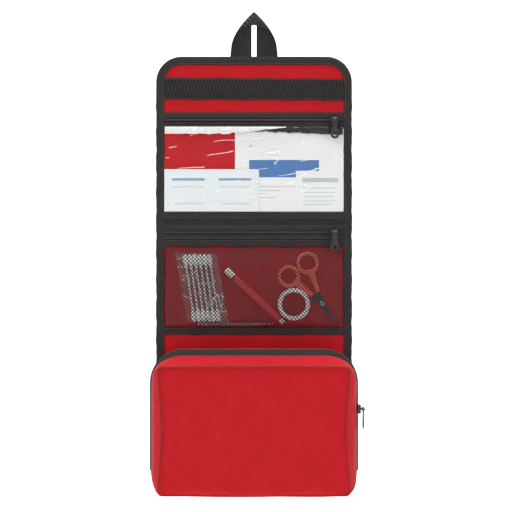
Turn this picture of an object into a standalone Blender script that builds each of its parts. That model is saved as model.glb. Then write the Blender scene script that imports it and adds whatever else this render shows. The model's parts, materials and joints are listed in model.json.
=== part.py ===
"""Hanging fold-out first aid kit: loop, flap, two pocket panels and a zipped pouch.

Run with: blender --background --python part.py

Frame: +Z up, +X to the right as seen from the front, the front faces -Y.
The origin is the inner top of the hanging loop, where a hook or peg carries the kit.
All sizes below are in millimetres; meshes are written in metres.
"""

import math

import bmesh
import bpy
from mathutils import Matrix, Vector

MM = 0.001

# ---- driving dimensions, mm -------------------------------------------------------------
GAP = 0.3                  # clearance between pieces that touch
PANEL_WIDTH = 207.0        # over the edge bindings
FABRIC = 1.2               # thickness of a fabric panel
BINDING_WIDTH = 8.6
BINDING_SKIN = 1.0
CORNER_RADIUS = 27.0       # top corners of the flap

LOOP_HEIGHT = 31.5         # origin down to the loop's sewn end
LOOP_APEX = 12.7           # origin up to the point of the fold
LEG_WIDTH = 22.4
LOOP_SLIT = 5.0
WEBBING = 2.4

FLAP_LENGTH = 52.5         # flap top edge down to the flap fold
UPPER_LENGTH = 122.5       # flap fold down to the middle fold
LOWER_LENGTH = 124.5       # middle fold down to the pouch fold

HOOK_STRIP_TOP = 23.0      # below the flap's top edge
HOOK_STRIP_HEIGHT = 23.0
STRIP_THICKNESS = 1.5

ZIP_TAPE_TOP_HEIGHT = 6.7
ZIP_TAPE_BOTTOM_HEIGHT = 5.8
ZIP_TAPE = 1.0
COIL_HEIGHT = 2.4
COIL_DEPTH = 2.2
UPPER_ZIP_DROP = 6.4       # flap fold down to the upper zip tape
LOWER_ZIP_DROP = 2.7       # middle fold down to the lower zip tape
LOWER_FACING = 13.2        # band under the lower zip

SLIDER_LENGTH = 9.0
SLIDER_HEIGHT = 8.0
SLIDER_ROOF = 1.8
SLIDER_INSET = 10.0        # closed slider's centre in from the binding's inner edge
PULL_LENGTH = 20.5
PULL_NECK = 5.6
PULL_HEAD = 9.2
PULL_THICKNESS = 1.5

FILM = 0.6                 # clear window and mesh, as solids
SKIRT = 0.8                # run of the steep sewn edge of a pocket front
SEAM_RISE = 0.4            # fabric's face out to a pocket front at its sewn edge
CLEAR_EDGE = 2.8           # and just inside the sewn edge
CLEAR_BULGE = 4.3
MESH_EDGE = 1.8
MESH_BULGE = 13.2
CLEAR_STEP = 18.9          # between the lines that a pocket front is faceted on, across it
MESH_STEP = 13.5
POCKET_POWER = 8.0         # how square a filled pocket stands, at its sides and foot
POCKET_TOP_POWER = 4.0     # and under its zip, where the pull hangs over it
MIDDLE_BAND = 8.0
BOTTOM_BAND = 8.0
BOTTOM_BAND_RISE = 5.4     # pouch fold up to the bottom band

SACHET = 48.6
SACHET_HEIGHT = 43.0
SACHET_THICKNESS = 1.0
PACKET_WIDTH = 66.0
PACKET_THICKNESS = 0.8
RELIEF_WIDTH = 46.0

SWAB_LENGTH = 72.5
SWAB_STICK = 1.1
SWAB_HEAD = 1.9
SWAB_COUNT = 6
SWAB_PITCH = 5.2
SWAB_TILT = 10.3           # degrees, foot to the right
BAG_WALL = 0.4

BAG_SIDE = 0.8836          # swab bag's top corner, as a share of the way to the pocket's side
BAG_SLACK = 7.0            # bag's edge in to the outer swab
BAG_RISE = 5.0             # pocket's foot up to the bag's foot
BAG_DROP = 6.9             # pocket's top down to the bag's top
TOOL_LENGTH = 66.0
TOOL_ANGLE = 43.0          # degrees that the probe rises to the left
PROBE_DEPTH = 4.0          # probe's middle in front of what lies on the panel
PROBE_OFFSET = 45.2        # scissors' pivot left to the probe's tip
PROBE_RISE = 8.0           # pocket's foot up to the probe's tip
TAPE_ROLL_RADIUS = 16.9
TAPE_CORE_RADIUS = 12.7
TAPE_ROLL_WIDTH = 9.0
TAPE_ROLL_OFFSET = 30.2    # scissors' pivot left to the roll's centre
TAPE_ROLL_RISE = 7.4       # pocket's foot up to the roll
TWEEZERS_LENGTH = 80.0
TWEEZERS_INSET = 34.5      # pocket's left edge in to the tweezers
TWEEZERS_RISE = 3.3
SCISSOR_INSET = 22.3       # pocket's right edge in to the scissors' pivot
SCISSOR_RISE = 25.0        # pocket's foot up to the pivot

BLADE_LENGTH = 26.5
BLADE_THICKNESS = 0.9
TANG_REACH = 13.1          # pivot to the end of the steel inside the grip's foot
BOSS_RADIUS = 3.2
RIVET_PIN = 1.2
RIVET_HEAD = 2.5
GRIP_REACH = 45.4          # pivot to the middle of a finger ring
GRIP_SPREAD = 15.6         # degrees either side of the blades' line
GRIP_RING = 10.1           # middle radius of a finger ring
GRIP_BAR = 3.2
GRIP_THICKNESS = 3.8
SHANK_FOOT = 1.9           # half width of a grip's shank at the steel
SHANK_HEAD = 2.6           # and at the finger ring
SCISSOR_ANGLE = -54.3      # degrees, direction of the blades from +X towards +Z

POUCH_DEPTH = 47.0         # panel face to the pouch's front face
POUCH_TOP_DROP = 9.0       # pouch fold down to the top of the zip ring
POUCH_HEIGHT = 149.0       # top of the zip ring to its foot
RING_PROUD = 3.5           # how far the zip ring stands out past the panel's edge
RING_TOP_RADIUS = 34.0
RING_FOOT_RADIUS = 24.0
FRONT_INSET = 5.0          # panel's edge in to the front panel's top corners
FRONT_WAIST = 3.6
FRONT_TOP_DROP = 15.5      # zip ring top down to the front panel's top seam
SHELL_WALL = 1.2
ZIP_BAND = 2.6             # depth of each tape of the pouch zip
POUCH_COIL = 1.4
COIL_PROUD = 1.6
POUCH_SLIDER_DROP = 61.0   # zip ring top down to the closed slider
LOOP_STRIP_RISE = 4.0      # pouch foot up to the loop strip on its back
BANDAGE_WIDTH = 76.0
BANDAGE_APART = 8.0        # between the two rolls
BANDAGE_SLACK = 4.0        # pouch's depth left over by a roll
BANDAGE_RISE = 3.0         # pouch's inner foot up to a roll

# ---- places worked out from the driving dimensions -------------------------------------
HALF_FABRIC = FABRIC / 2
FACE = -(HALF_FABRIC + GAP)                    # y of whatever is laid on the front face
HALF_PANEL = PANEL_WIDTH / 2
RING_HALF = HALF_PANEL + RING_PROUD
FRONT_HALF = HALF_PANEL - FRONT_INSET
INNER_HALF = HALF_PANEL - BINDING_WIDTH        # inner edge of a binding
CONTENT_HALF = INNER_HALF - GAP - 0.1
PIVOT_X = CONTENT_HALF - SCISSOR_INSET
BINDING_DEPTH = HALF_FABRIC + GAP + BINDING_SKIN

LOOP_FOLD_Z = -(LOOP_HEIGHT + 1.5)
FLAP_TOP = LOOP_FOLD_Z - 1.7
FLAP_FOLD_Z = FLAP_TOP - FLAP_LENGTH
MIDDLE_FOLD_Z = FLAP_FOLD_Z - UPPER_LENGTH
POUCH_FOLD_Z = MIDDLE_FOLD_Z - LOWER_LENGTH
FOLD_GAP = BINDING_DEPTH + 0.2                 # a binding's end to the fold it meets

RING_TOP = POUCH_FOLD_Z - POUCH_TOP_DROP
RING_FOOT = RING_TOP - POUCH_HEIGHT
RING_Y = -(POUCH_DEPTH / 2 + 0.4)              # middle of the pouch zip
FRONT_TOP = RING_TOP - FRONT_TOP_DROP
PANEL_PIN_OUT = 4.0                            # slider roof out to the pull's pin
POUCH_PIN_OUT = 2.6
PIN_HALF = 0.6
EYE_HOLE = 1.3
EYE_RADIUS = 2.1
LUG_HALF = 3.7
LUG_INNER = 2.5


# ---- helpers ----------------------------------------------------------------------------
def material(name, colour, roughness=0.8, metallic=0.0):
    """Principled BSDF with one colour; made once and shared."""
    found = bpy.data.materials.get(name)
    if found:
        return found
    made = bpy.data.materials.new(name)
    made.use_nodes = True
    shader = made.node_tree.nodes["Principled BSDF"]
    shader.inputs["Base Color"].default_value = (*colour, 1.0)
    shader.inputs["Roughness"].default_value = roughness
    shader.inputs["Metallic"].default_value = metallic
    return made


def red():
    return material("red_nylon", (0.42, 0.02, 0.03))


def black():
    return material("black_webbing", (0.02, 0.018, 0.017))


def steel():
    return material("steel", (0.45, 0.45, 0.46), 0.3, 1.0)


def white():
    return material("white_paper", (0.8, 0.8, 0.78), 0.5)


def add_mesh(name, points, faces, finish, helper=False):
    """Closed mesh from millimetre points, its normals pointing outwards."""
    mesh = bpy.data.meshes.new(name)
    mesh.from_pydata([Vector(p) * MM for p in points], [], faces)
    work = bmesh.new()
    work.from_mesh(mesh)
    bmesh.ops.recalc_face_normals(work, faces=work.faces)
    work.to_mesh(mesh)
    work.free()
    mesh.materials.append(finish)
    piece = bpy.data.objects.new(name, mesh)
    bpy.context.collection.objects.link(piece)
    if helper:
        piece.hide_render = True
        piece.display_type = "WIRE"
    return piece


def prism(name, outline, low, high, finish, axis="Y", helper=False):
    """Closed outline pushed straight from low to high along one axis."""
    place = {
        "Y": lambda a, b, t: (a, t, b),
        "X": lambda a, b, t: (t, a, b),
        "Z": lambda a, b, t: (a, b, t),
    }[axis]
    count = len(outline)
    points = [place(a, b, low) for a, b in outline] + [place(a, b, high) for a, b in outline]
    faces = [tuple(range(count)), tuple(range(count, 2 * count))]
    faces += [(i, (i + 1) % count, count + (i + 1) % count, count + i) for i in range(count)]
    return add_mesh(name, points, faces, finish, helper)


def box(name, low, high, finish, helper=False):
    """Plain block between two corners."""
    outline = [(low[0], low[2]), (high[0], low[2]), (high[0], high[2]), (low[0], high[2])]
    return prism(name, outline, low[1], high[1], finish, helper=helper)


def disc(centre, radius, count):
    """Points round a circle."""
    return [(centre[0] + radius * math.cos(2 * math.pi * i / count),
             centre[1] + radius * math.sin(2 * math.pi * i / count)) for i in range(count)]


def combine(target, tool, operation):
    """Exact Boolean of a helper on a piece."""
    step = target.modifiers.new(tool.name, "BOOLEAN")
    step.operation = operation
    step.object = tool
    step.solver = "EXACT"


def turned(name, profile, count, finish, base, direction):
    """Profile of (distance along, radius) turned about a line; radii over zero."""
    along = Vector(direction).normalized()
    side = along.orthogonal().normalized()
    other = along.cross(side)
    points = []
    for reach, radius in profile:
        for i in range(count):
            angle = 2 * math.pi * i / count
            out = side * math.cos(angle) + other * math.sin(angle)
            points.append(Vector(base) + along * reach + out * radius)
    rings = len(profile)
    faces = [tuple(range(count)), tuple(range((rings - 1) * count, rings * count))]
    for ring in range(rings - 1):
        for i in range(count):
            j = (i + 1) % count
            faces.append((ring * count + i, ring * count + j,
                          (ring + 1) * count + j, (ring + 1) * count + i))
    return add_mesh(name, points, faces, finish)


def ring_of(name, outlines, finish):
    """Closed hoop through four matching outlines of (x, y, z) points."""
    count = len(outlines[0])
    points = [p for outline in outlines for p in outline]
    faces = []
    for loop in range(4):
        following = (loop + 1) % 4
        for i in range(count):
            j = (i + 1) % count
            faces.append((loop * count + i, loop * count + j,
                          following * count + j, following * count + i))
    return add_mesh(name, points, faces, finish)


def hoop_outline(half, top, foot, top_radius, foot_radius, waist=0.0, steps=5, sides=4):
    """Rounded outline, anticlockwise from the right side, with bowed-in upright sides."""
    corners = [(half - top_radius, top - top_radius, top_radius, 0),
               (top_radius - half, top - top_radius, top_radius, 90),
               (foot_radius - half, foot + foot_radius, foot_radius, 180),
               (half - foot_radius, foot + foot_radius, foot_radius, 270)]
    points = []
    for index, (cx, cz, radius, start) in enumerate(corners):
        for i in range(steps + 1):
            angle = math.radians(start + 90 * i / steps)
            points.append((cx + radius * math.cos(angle), cz + radius * math.sin(angle)))
        end = points[-1]
        nx, nz, nr, ns = corners[(index + 1) % 4]
        turn = math.radians(ns)
        goal = (nx + nr * math.cos(turn), nz + nr * math.sin(turn))
        for i in range(1, sides):
            share = i / sides
            x = end[0] + (goal[0] - end[0]) * share
            z = end[1] + (goal[1] - end[1]) * share
            if index in (1, 3):
                x -= math.copysign(waist * math.sin(math.pi * share), x)
            points.append((x, z))
    return points


def at_depth(outline, y):
    return [(x, y, z) for x, z in outline]


def swept(name, path, inward, profile, finish):
    """Profile of (distance inward, y) carried along an open path of (x, z) points."""
    points = []
    for (x, z), (ix, iz) in zip(path, inward):
        points += [(x + ix * reach, y, z + iz * reach) for reach, y in profile]
    count = len(profile)
    last = len(path) - 1
    faces = [tuple(range(count)), tuple(range(last * count, (last + 1) * count))]
    for ring in range(last):
        for i in range(count):
            j = (i + 1) % count
            faces.append((ring * count + i, ring * count + j,
                          (ring + 1) * count + j, (ring + 1) * count + i))
    return add_mesh(name, points, faces, finish)


def binding_profile():
    """Folded edge tape in section: two skins and the fold round the fabric's edge."""
    skin = HALF_FABRIC + GAP
    return [(0, -BINDING_DEPTH), (BINDING_WIDTH, -BINDING_DEPTH), (BINDING_WIDTH, -skin),
            (BINDING_SKIN, -skin), (BINDING_SKIN, skin), (BINDING_WIDTH, skin),
            (BINDING_WIDTH, BINDING_DEPTH), (0, BINDING_DEPTH)]


def arch_path(half, top, foot, radius, steps):
    """Open path up the left side, round both top corners and down the right side."""
    path, inward = [(-half, foot)], [(1.0, 0.0)]
    for centre, start in ((radius - half, 180), (half - radius, 90)):
        for i in range(steps + 1):
            angle = math.radians(start - 90 * i / steps)
            ux, uz = math.cos(angle), math.sin(angle)
            path.append((centre + radius * ux, top - radius + radius * uz))
            inward.append((-ux, -uz))
    path.append((half, foot))
    inward.append((-1.0, 0.0))
    return path, inward


def side_binding(name, side, top, foot):
    """Straight binding down one edge of a panel."""
    path = [(side * HALF_PANEL, top), (side * HALF_PANEL, foot)]
    return swept(name, path, [(-side, 0.0)] * 2, binding_profile(), black())


def fabric_panel(name, top, foot):
    """Plain fabric panel that slides into its bindings."""
    half = HALF_PANEL - BINDING_SKIN - GAP
    return box(name, (-half, -HALF_FABRIC, foot), (half, HALF_FABRIC, top), red())


def pocket_lines(low, high, count):
    """Grid lines, close together near the edges, with a steep sewn edge outside them."""
    inner_low, inner_high = low + SKIRT, high - SKIRT
    middle = (inner_low + inner_high) / 2
    reach = (inner_high - inner_low) / 2
    inside = [middle - reach * math.cos(math.pi * i / count) for i in range(count + 1)]
    return [low] + inside + [high]


def pocket_front(name, top, foot, edge, bulge, step, down, finish):
    """Filled pocket front: a thin sheet that stands off the panel and is sewn down all round."""
    xs = pocket_lines(-CONTENT_HALF, CONTENT_HALF, 2 * round(CONTENT_HALF / step))
    zs = pocket_lines(foot, top, down)
    last_x, last_z = len(xs) - 1, len(zs) - 1
    middle = (top + foot) / 2

    def depth(i, j):
        if i in (0, last_x) or j in (0, last_z):
            return HALF_FABRIC + SEAM_RISE
        u = abs(xs[i]) / CONTENT_HALF
        v = abs(zs[j] - middle) / (top - middle)
        power = POCKET_TOP_POWER if zs[j] > middle else POCKET_POWER
        return HALF_FABRIC + edge + bulge * (1 - u ** POCKET_POWER) * (1 - v ** power)

    back = [(xs[i], -depth(i, j), zs[j]) for j in range(last_z + 1) for i in range(last_x + 1)]
    front = [(x, y - FILM, z) for x, y, z in back]
    wide = last_x + 1
    offset = len(back)
    faces = []
    for j in range(last_z):
        for i in range(last_x):
            a = j * wide + i
            quad = (a, a + 1, a + wide + 1, a + wide)
            faces.append(quad)
            faces.append(tuple(offset + k for k in quad))
    rim = [i for i in range(wide)]
    rim += [j * wide + last_x for j in range(1, last_z + 1)]
    rim += [last_z * wide + i for i in range(last_x - 1, -1, -1)]
    rim += [j * wide for j in range(last_z - 1, 0, -1)]
    for k, a in enumerate(rim):
        b = rim[(k + 1) % len(rim)]
        faces.append((a, b, offset + b, offset + a))
    return add_mesh(name, back + front, faces, finish)


# ---- zips -------------------------------------------------------------------------------
def slider(name, place, lug_place, coil_half, coil_top, skirt_low, pin_out):
    """Slider body that straddles the coil, with the lug that holds its pull.

    It is made with its run along X and its front towards -Y, then put in place.
    The coil lies along the local X axis, with its back at y = 0. Returns how far out
    the pull's pin is.
    """
    roof = coil_top + 0.4
    outer = roof + SLIDER_ROOF
    half = SLIDER_HEIGHT / 2
    slot = coil_half + 0.4
    section = [(-skirt_low, -half), (-outer, -half), (-outer, half), (-skirt_low, half),
               (-skirt_low, slot), (-roof, slot), (-roof, -slot), (-skirt_low, -slot)]
    body = prism(name, section, -SLIDER_LENGTH / 2, SLIDER_LENGTH / 2, zip_metal(), axis="X")
    pin = outer + pin_out
    sunk = outer - 0.5
    lug = [(-LUG_HALF, -sunk), (-LUG_HALF, -pin - PIN_HALF), (LUG_HALF, -pin - PIN_HALF),
           (LUG_HALF, -sunk), (LUG_INNER, -sunk), (LUG_INNER, -pin + PIN_HALF),
           (-LUG_INNER, -pin + PIN_HALF), (-LUG_INNER, -sunk)]
    arch = prism(name + "_lug", lug, -PIN_HALF, PIN_HALF, zip_metal(), axis="Z", helper=True)
    combine(body, arch, "UNION")
    body.data.transform(place)
    arch.data.transform(lug_place)
    return pin


def pull(name, place, pin):
    """Flat pull tab hinged on the slider's lug, hanging down."""
    eye = disc((-pin, 0.0), EYE_RADIUS, 12)
    body = prism(name, eye, -LUG_INNER + 0.4, LUG_INNER - 0.4, zip_metal(), axis="X")
    head = PULL_HEAD / 2
    neck = PULL_NECK / 2
    centre = -(PULL_LENGTH - head)
    outline = [(neck, -EYE_RADIUS + 0.6), (neck, centre * 0.45)]
    outline += [(head * math.cos(math.radians(a)), centre + head * math.sin(math.radians(a)))
                for a in range(0, -181, -30)]
    outline += [(-neck, centre * 0.45), (-neck, -EYE_RADIUS + 0.6)]
    half = PULL_THICKNESS / 2
    tab = prism(name + "_tab", outline, -pin - half, -pin + half, zip_metal(), helper=True)
    bore = prism(name + "_bore", disc((-pin, 0.0), EYE_HOLE, 10), -4.0, 4.0, zip_metal(),
                 axis="X", helper=True)
    hole = prism(name + "_hole", disc((0.0, centre), head * 0.45, 10), -pin - 3, -pin + 3,
                 zip_metal(), helper=True)
    combine(body, tab, "UNION")
    combine(body, bore, "DIFFERENCE")
    combine(body, hole, "DIFFERENCE")
    for piece in (body, tab, bore, hole):
        piece.data.transform(place)


def zip_metal():
    return material("zip_metal", (0.09, 0.085, 0.085), 0.4, 0.8)


def shift(x, y, z):
    return Matrix.Translation(Vector((x, y, z)) * MM)


def panel_zip(prefix, top):
    """Two tapes, a coil between them, a slider at the right end and its pull."""
    face = FACE - 0.2
    coil_back = FACE - 0.1
    tape_foot = top - ZIP_TAPE_TOP_HEIGHT
    coil_z = tape_foot - GAP - COIL_HEIGHT / 2
    lower_top = coil_z - COIL_HEIGHT / 2 - GAP
    box(prefix + "_zip_tape_top", (-CONTENT_HALF, face - ZIP_TAPE, tape_foot),
        (CONTENT_HALF, face, top), black())
    box(prefix + "_zip_tape_bottom", (-CONTENT_HALF, face - ZIP_TAPE,
        lower_top - ZIP_TAPE_BOTTOM_HEIGHT), (CONTENT_HALF, face, lower_top), black())
    box(prefix + "_zip_coil", (-CONTENT_HALF, coil_back - COIL_DEPTH, coil_z - COIL_HEIGHT / 2),
        (CONTENT_HALF, coil_back, coil_z + COIL_HEIGHT / 2), black())
    place = shift(INNER_HALF - SLIDER_INSET, coil_back, coil_z)
    skirt_low = -(face - ZIP_TAPE - 0.4 - coil_back)
    pin = slider(prefix + "_slider", place, place, COIL_HEIGHT / 2, COIL_DEPTH, skirt_low,
                 PANEL_PIN_OUT)
    pull(prefix + "_pull", place, pin)
    return lower_top - ZIP_TAPE_BOTTOM_HEIGHT


# ---- hanging loop and flap --------------------------------------------------------------
def hanging_loop():
    """Webbing strap folded to a point: two legs side by side and the hood over them."""
    edge = LEG_WIDTH + LOOP_SLIT / 2
    slit = LOOP_SLIT / 2
    shoulder = -LOOP_HEIGHT * 0.5
    side = [(edge, -LOOP_HEIGHT), (edge, shoulder * 1.3), (edge * 0.93, shoulder),
            (edge * 0.75, shoulder * 0.3), (edge * 0.5, LOOP_APEX * 0.35),
            (edge * 0.25, LOOP_APEX * 0.8), (0.6, LOOP_APEX)]
    mirrored = [(-x, z) for x, z in reversed(side)]
    inner = [(-slit, -LOOP_HEIGHT), (-slit, -1.0), (0.0, 0.0), (slit, -1.0), (slit, -LOOP_HEIGHT)]
    half = WEBBING / 2
    body = prism("hang_loop", side + mirrored + inner, -half, half, black())
    hood_side = [(edge * 0.93, shoulder), (edge * 0.75, shoulder * 0.3),
                 (edge * 0.5, LOOP_APEX * 0.35), (edge * 0.25, LOOP_APEX * 0.8),
                 (0.6, LOOP_APEX)]
    hem = [(-edge * 0.72, -9.5), (-edge * 0.25, -6.0), (-slit, -1.0), (0.0, 0.0),
           (slit, -1.0), (edge * 0.45, -4.5), (edge * 0.78, -11.0)]
    outline = hood_side + [(-x, z) for x, z in reversed(hood_side)] + hem
    hood = prism("hang_loop_hood", outline, -half - 1.3, -half + 0.4, black(), helper=True)
    combine(body, hood, "UNION")


def flap():
    """Top flap with its arched binding and the hook strip that closes the rolled kit."""
    half = HALF_PANEL - BINDING_SKIN - GAP
    radius = CORNER_RADIUS - BINDING_SKIN - GAP
    top = FLAP_TOP - BINDING_SKIN - GAP
    path, _ = arch_path(half, top, FLAP_FOLD_Z + HALF_FABRIC + 0.2, radius, 8)
    prism("flap_panel", path, -HALF_FABRIC, HALF_FABRIC, red())
    path, inward = arch_path(HALF_PANEL, FLAP_TOP, FLAP_FOLD_Z + FOLD_GAP, CORNER_RADIUS, 8)
    swept("flap_binding", path, inward, binding_profile(), black())
    strip_top = FLAP_TOP - HOOK_STRIP_TOP
    inside = CORNER_RADIUS - BINDING_WIDTH - GAP
    into_corner = min(max(CORNER_RADIUS - HOOK_STRIP_TOP, 0.0), inside)
    strip_half = CONTENT_HALF - (inside - math.sqrt(inside ** 2 - into_corner ** 2))
    box("hook_strip", (-strip_half, FACE - STRIP_THICKNESS, strip_top - HOOK_STRIP_HEIGHT),
        (strip_half, FACE, strip_top), black())


# ---- upper panel: clear pocket ----------------------------------------------------------
def packet(name, x_low, x_high, z_low, z_high, layer, thickness):
    """Flat sealed packet with cropped corners, lying in a layer in front of the panel."""
    crop = 1.5
    outline = [(x_low + crop, z_low), (x_high - crop, z_low), (x_high, z_low + crop),
               (x_high, z_high - crop), (x_high - crop, z_high), (x_low + crop, z_high),
               (x_low, z_high - crop), (x_low, z_low + crop)]
    return prism(name, outline, layer - thickness, layer, white())


def upper_panel():
    """Panel with the clear pocket, its zip and the flat packets in it."""
    fold = HALF_FABRIC + 0.2
    fabric_panel("upper_panel", FLAP_FOLD_Z - fold, MIDDLE_FOLD_Z + fold)
    for name, side in (("upper_binding_left", -1), ("upper_binding_right", 1)):
        side_binding(name, side, FLAP_FOLD_Z - FOLD_GAP, MIDDLE_FOLD_Z + FOLD_GAP)
    tape_foot = panel_zip("upper", FLAP_FOLD_Z - UPPER_ZIP_DROP)
    band_foot = MIDDLE_FOLD_Z + STRIP_THICKNESS + 1.5
    band_top = band_foot + MIDDLE_BAND
    box("middle_band", (-CONTENT_HALF, FACE - STRIP_THICKNESS, band_foot),
        (CONTENT_HALF, FACE, band_top), black())
    top, foot = tape_foot - GAP, band_top + GAP
    pocket_front("clear_window", top, foot, CLEAR_EDGE, CLEAR_BULGE, CLEAR_STEP, 8,
                 material("clear_vinyl", (0.85, 0.87, 0.88), 0.15))
    rest = foot + 1.6
    left = -CONTENT_HALF + 1.2
    front_layer = FACE - PACKET_THICKNESS - GAP
    for index, name in enumerate(("alcohol_sachet_left", "alcohol_sachet_right")):
        start = left + index * (SACHET + 0.6)
        packet(name, start, start + SACHET, rest, rest + SACHET_HEIGHT, front_layer,
               SACHET_THICKNESS)
    right = CONTENT_HALF - 1.6
    high = top - 5.5
    packet("relief_sachet", right - RELIEF_WIDTH, right, rest, high - 6, FACE,
           PACKET_THICKNESS)
    edge = right - RELIEF_WIDTH - 0.6
    packet("dressing_packet", edge - PACKET_WIDTH, edge, rest, high, FACE, PACKET_THICKNESS)


# ---- lower panel: mesh pocket -----------------------------------------------------------
def swabs(top, foot, left):
    """Cotton swabs side by side in an open-topped clear bag."""
    tilt = math.radians(SWAB_TILT)
    lean = math.tan(tilt)
    bag_back = FACE
    bag_front = bag_back - 2 * (BAG_WALL + SWAB_HEAD + 0.3)
    middle = (bag_back + bag_front) / 2
    width = (SWAB_COUNT - 1) * SWAB_PITCH + 2 * (SWAB_HEAD + BAG_SLACK)

    def bag_outline(inset, open_top):
        head = top + 2.0 if open_top else top
        low = foot + inset
        return [(left + inset + (top - low) * lean, low),
                (left + width - inset + (top - low) * lean, low),
                (left + width - inset + (top - head) * lean, head),
                (left + inset + (top - head) * lean, head)]

    film = material("bag_film", (0.8, 0.82, 0.83), 0.2)
    bag = prism("swab_bag", bag_outline(0.0, False), bag_front, bag_back, film)
    hollow = prism("swab_bag_hollow", bag_outline(BAG_WALL, True), bag_front + BAG_WALL,
                   bag_back - BAG_WALL, film, helper=True)
    combine(bag, hollow, "DIFFERENCE")
    direction = (math.sin(tilt), 0.0, -math.cos(tilt))
    head = [(0.0, 0.7), (1.2, SWAB_HEAD * 0.8), (4.0, SWAB_HEAD), (9.0, SWAB_HEAD * 0.85),
            (12.0, SWAB_STICK)]
    profile = head + [(SWAB_LENGTH - reach, radius) for reach, radius in reversed(head)]
    first = left + width / 2 - (SWAB_COUNT - 1) * SWAB_PITCH / 2
    start_z = top - 0.8
    for index in range(SWAB_COUNT):
        x = first + index * SWAB_PITCH
        turned(f"swab_{index + 1}", profile, 8, white(), (x, middle, start_z), direction)


def probe_tool(pocket_foot):
    """Red-handled probe with a white cap and a forked white tip."""
    tip = Vector((PIVOT_X - PROBE_OFFSET, FACE - PROBE_DEPTH, pocket_foot + PROBE_RISE))
    rise = math.radians(TOOL_ANGLE)
    along = Vector((-math.cos(rise), 0.0, math.sin(rise)))
    handle = [(0.0, 2.6), (2.0, 3.2), (TOOL_LENGTH * 0.7, 3.8), (TOOL_LENGTH - 1.5, 3.5),
              (TOOL_LENGTH, 3.0)]
    turned("probe_handle", handle, 12, red(), tip, along)
    cap_base = tip + along * (TOOL_LENGTH + GAP)
    turned("probe_cap", [(0.0, 3.0), (1.0, 3.3), (10.0, 3.3), (11.0, 2.6)], 12, white(),
           cap_base, along)
    out = -along
    side = Vector((out.z, 0.0, -out.x))
    root = tip + out * GAP
    outline = []
    for reach, offset in ((0.0, -2.2), (4.5, -2.4), (6.6, -1.6), (3.0, 0.0), (6.6, 1.6),
                          (4.5, 2.4), (0.0, 2.2)):
        spot = root + out * reach + side * offset
        outline.append((spot.x, spot.z))
    prism("probe_fork", outline, tip.y - 0.2, tip.y + 1.1, white())


def tape_roll(pocket_foot):
    """Roll of adhesive tape lying flat on its side."""
    centre = (PIVOT_X - TAPE_ROLL_OFFSET, pocket_foot + TAPE_ROLL_RADIUS + TAPE_ROLL_RISE)
    rims = [disc(centre, radius, 28) for radius in (TAPE_ROLL_RADIUS, TAPE_CORE_RADIUS)]
    near, far = FACE, FACE - TAPE_ROLL_WIDTH
    outlines = [at_depth(rims[0], near), at_depth(rims[0], far), at_depth(rims[1], far),
                at_depth(rims[1], near)]
    ring_of("tape_roll", outlines, white())


def tweezers(pocket_foot):
    """Flat-arm tweezers along the pocket's foot: one closed V of two springy arms."""
    z = pocket_foot + TWEEZERS_RISE
    left = -CONTENT_HALF + TWEEZERS_INSET
    right = left + TWEEZERS_LENGTH
    outline = [(left, z - 0.9), (left + 12, z - 1.3), (right - 20, z - 1.3), (right, z - 0.5),
               (right, z - 0.15), (left + 12, z - 0.3), (left + 12, z + 0.3),
               (right, z + 0.15), (right, z + 0.5), (right - 20, z + 1.3),
               (left + 12, z + 1.3), (left, z + 0.9)]
    prism("tweezers", outline, FACE - 4.2, FACE - 0.2, steel())


def polar(origin, reach, angle, offset=0.0):
    """Point at a distance along a direction in the panel's plane, shifted to its left."""
    turn = math.radians(angle)
    return (origin[0] + reach * math.cos(turn) - offset * math.sin(turn),
            origin[1] + reach * math.sin(turn) + offset * math.cos(turn))


def grip(name, pivot, angle, layer):
    """Finger ring with a shank that runs towards the pivot."""
    centre = polar(pivot, GRIP_REACH, angle)
    orange = material("orange_plastic", (0.75, 0.12, 0.06), 0.45)
    outer, inner = GRIP_RING + GRIP_BAR / 2, GRIP_RING - GRIP_BAR / 2
    front = layer - GRIP_THICKNESS
    body = prism(name, disc(centre, outer, 24), front, layer, orange)
    near, far = TANG_REACH + GAP, GRIP_REACH - GRIP_RING
    corners = [(near, -SHANK_FOOT), (far, -SHANK_HEAD), (far, SHANK_HEAD), (near, SHANK_FOOT)]
    shank = [polar(pivot, reach, angle, offset) for reach, offset in corners]
    arm = prism(name + "_shank", shank, front + 0.2, layer - 0.2, orange, helper=True)
    hole = prism(name + "_hole", disc(centre, inner, 20), front - 1, layer + 1, orange,
                 helper=True)
    combine(body, arm, "UNION")
    combine(body, hole, "DIFFERENCE")


def blade(name, pivot, side, layer):
    """Steel half: a tang towards its grip, the pivot's boss and a tapering blade.

    The outline is (along, across) from the pivot, along the blades' line; side mirrors it.
    """
    spread = math.radians(GRIP_SPREAD)
    tang = (-math.cos(spread), -math.sin(spread))
    out = (math.sin(spread), -math.cos(spread))

    def on_tang(reach, offset):
        return (reach * tang[0] + offset * out[0], reach * tang[1] + offset * out[1])

    local = [on_tang(TANG_REACH, 1.6), on_tang(4.0, 2.9), (0.0, -BOSS_RADIUS),
             (BLADE_LENGTH * 0.4, -2.4), (BLADE_LENGTH, -0.3), (BLADE_LENGTH, 0.3),
             (BLADE_LENGTH * 0.4, 1.2), (0.0, BOSS_RADIUS), on_tang(4.0, -2.9),
             on_tang(TANG_REACH, -1.6)]
    outline = [polar(pivot, along, SCISSOR_ANGLE, across * side) for along, across in local]
    body = prism(name, outline, layer - BLADE_THICKNESS, layer, steel())
    bore = prism(name + "_bore", disc(pivot, RIVET_PIN + GAP, 12), layer - 2, layer + 1,
                 steel(), helper=True)
    combine(body, bore, "DIFFERENCE")


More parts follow.
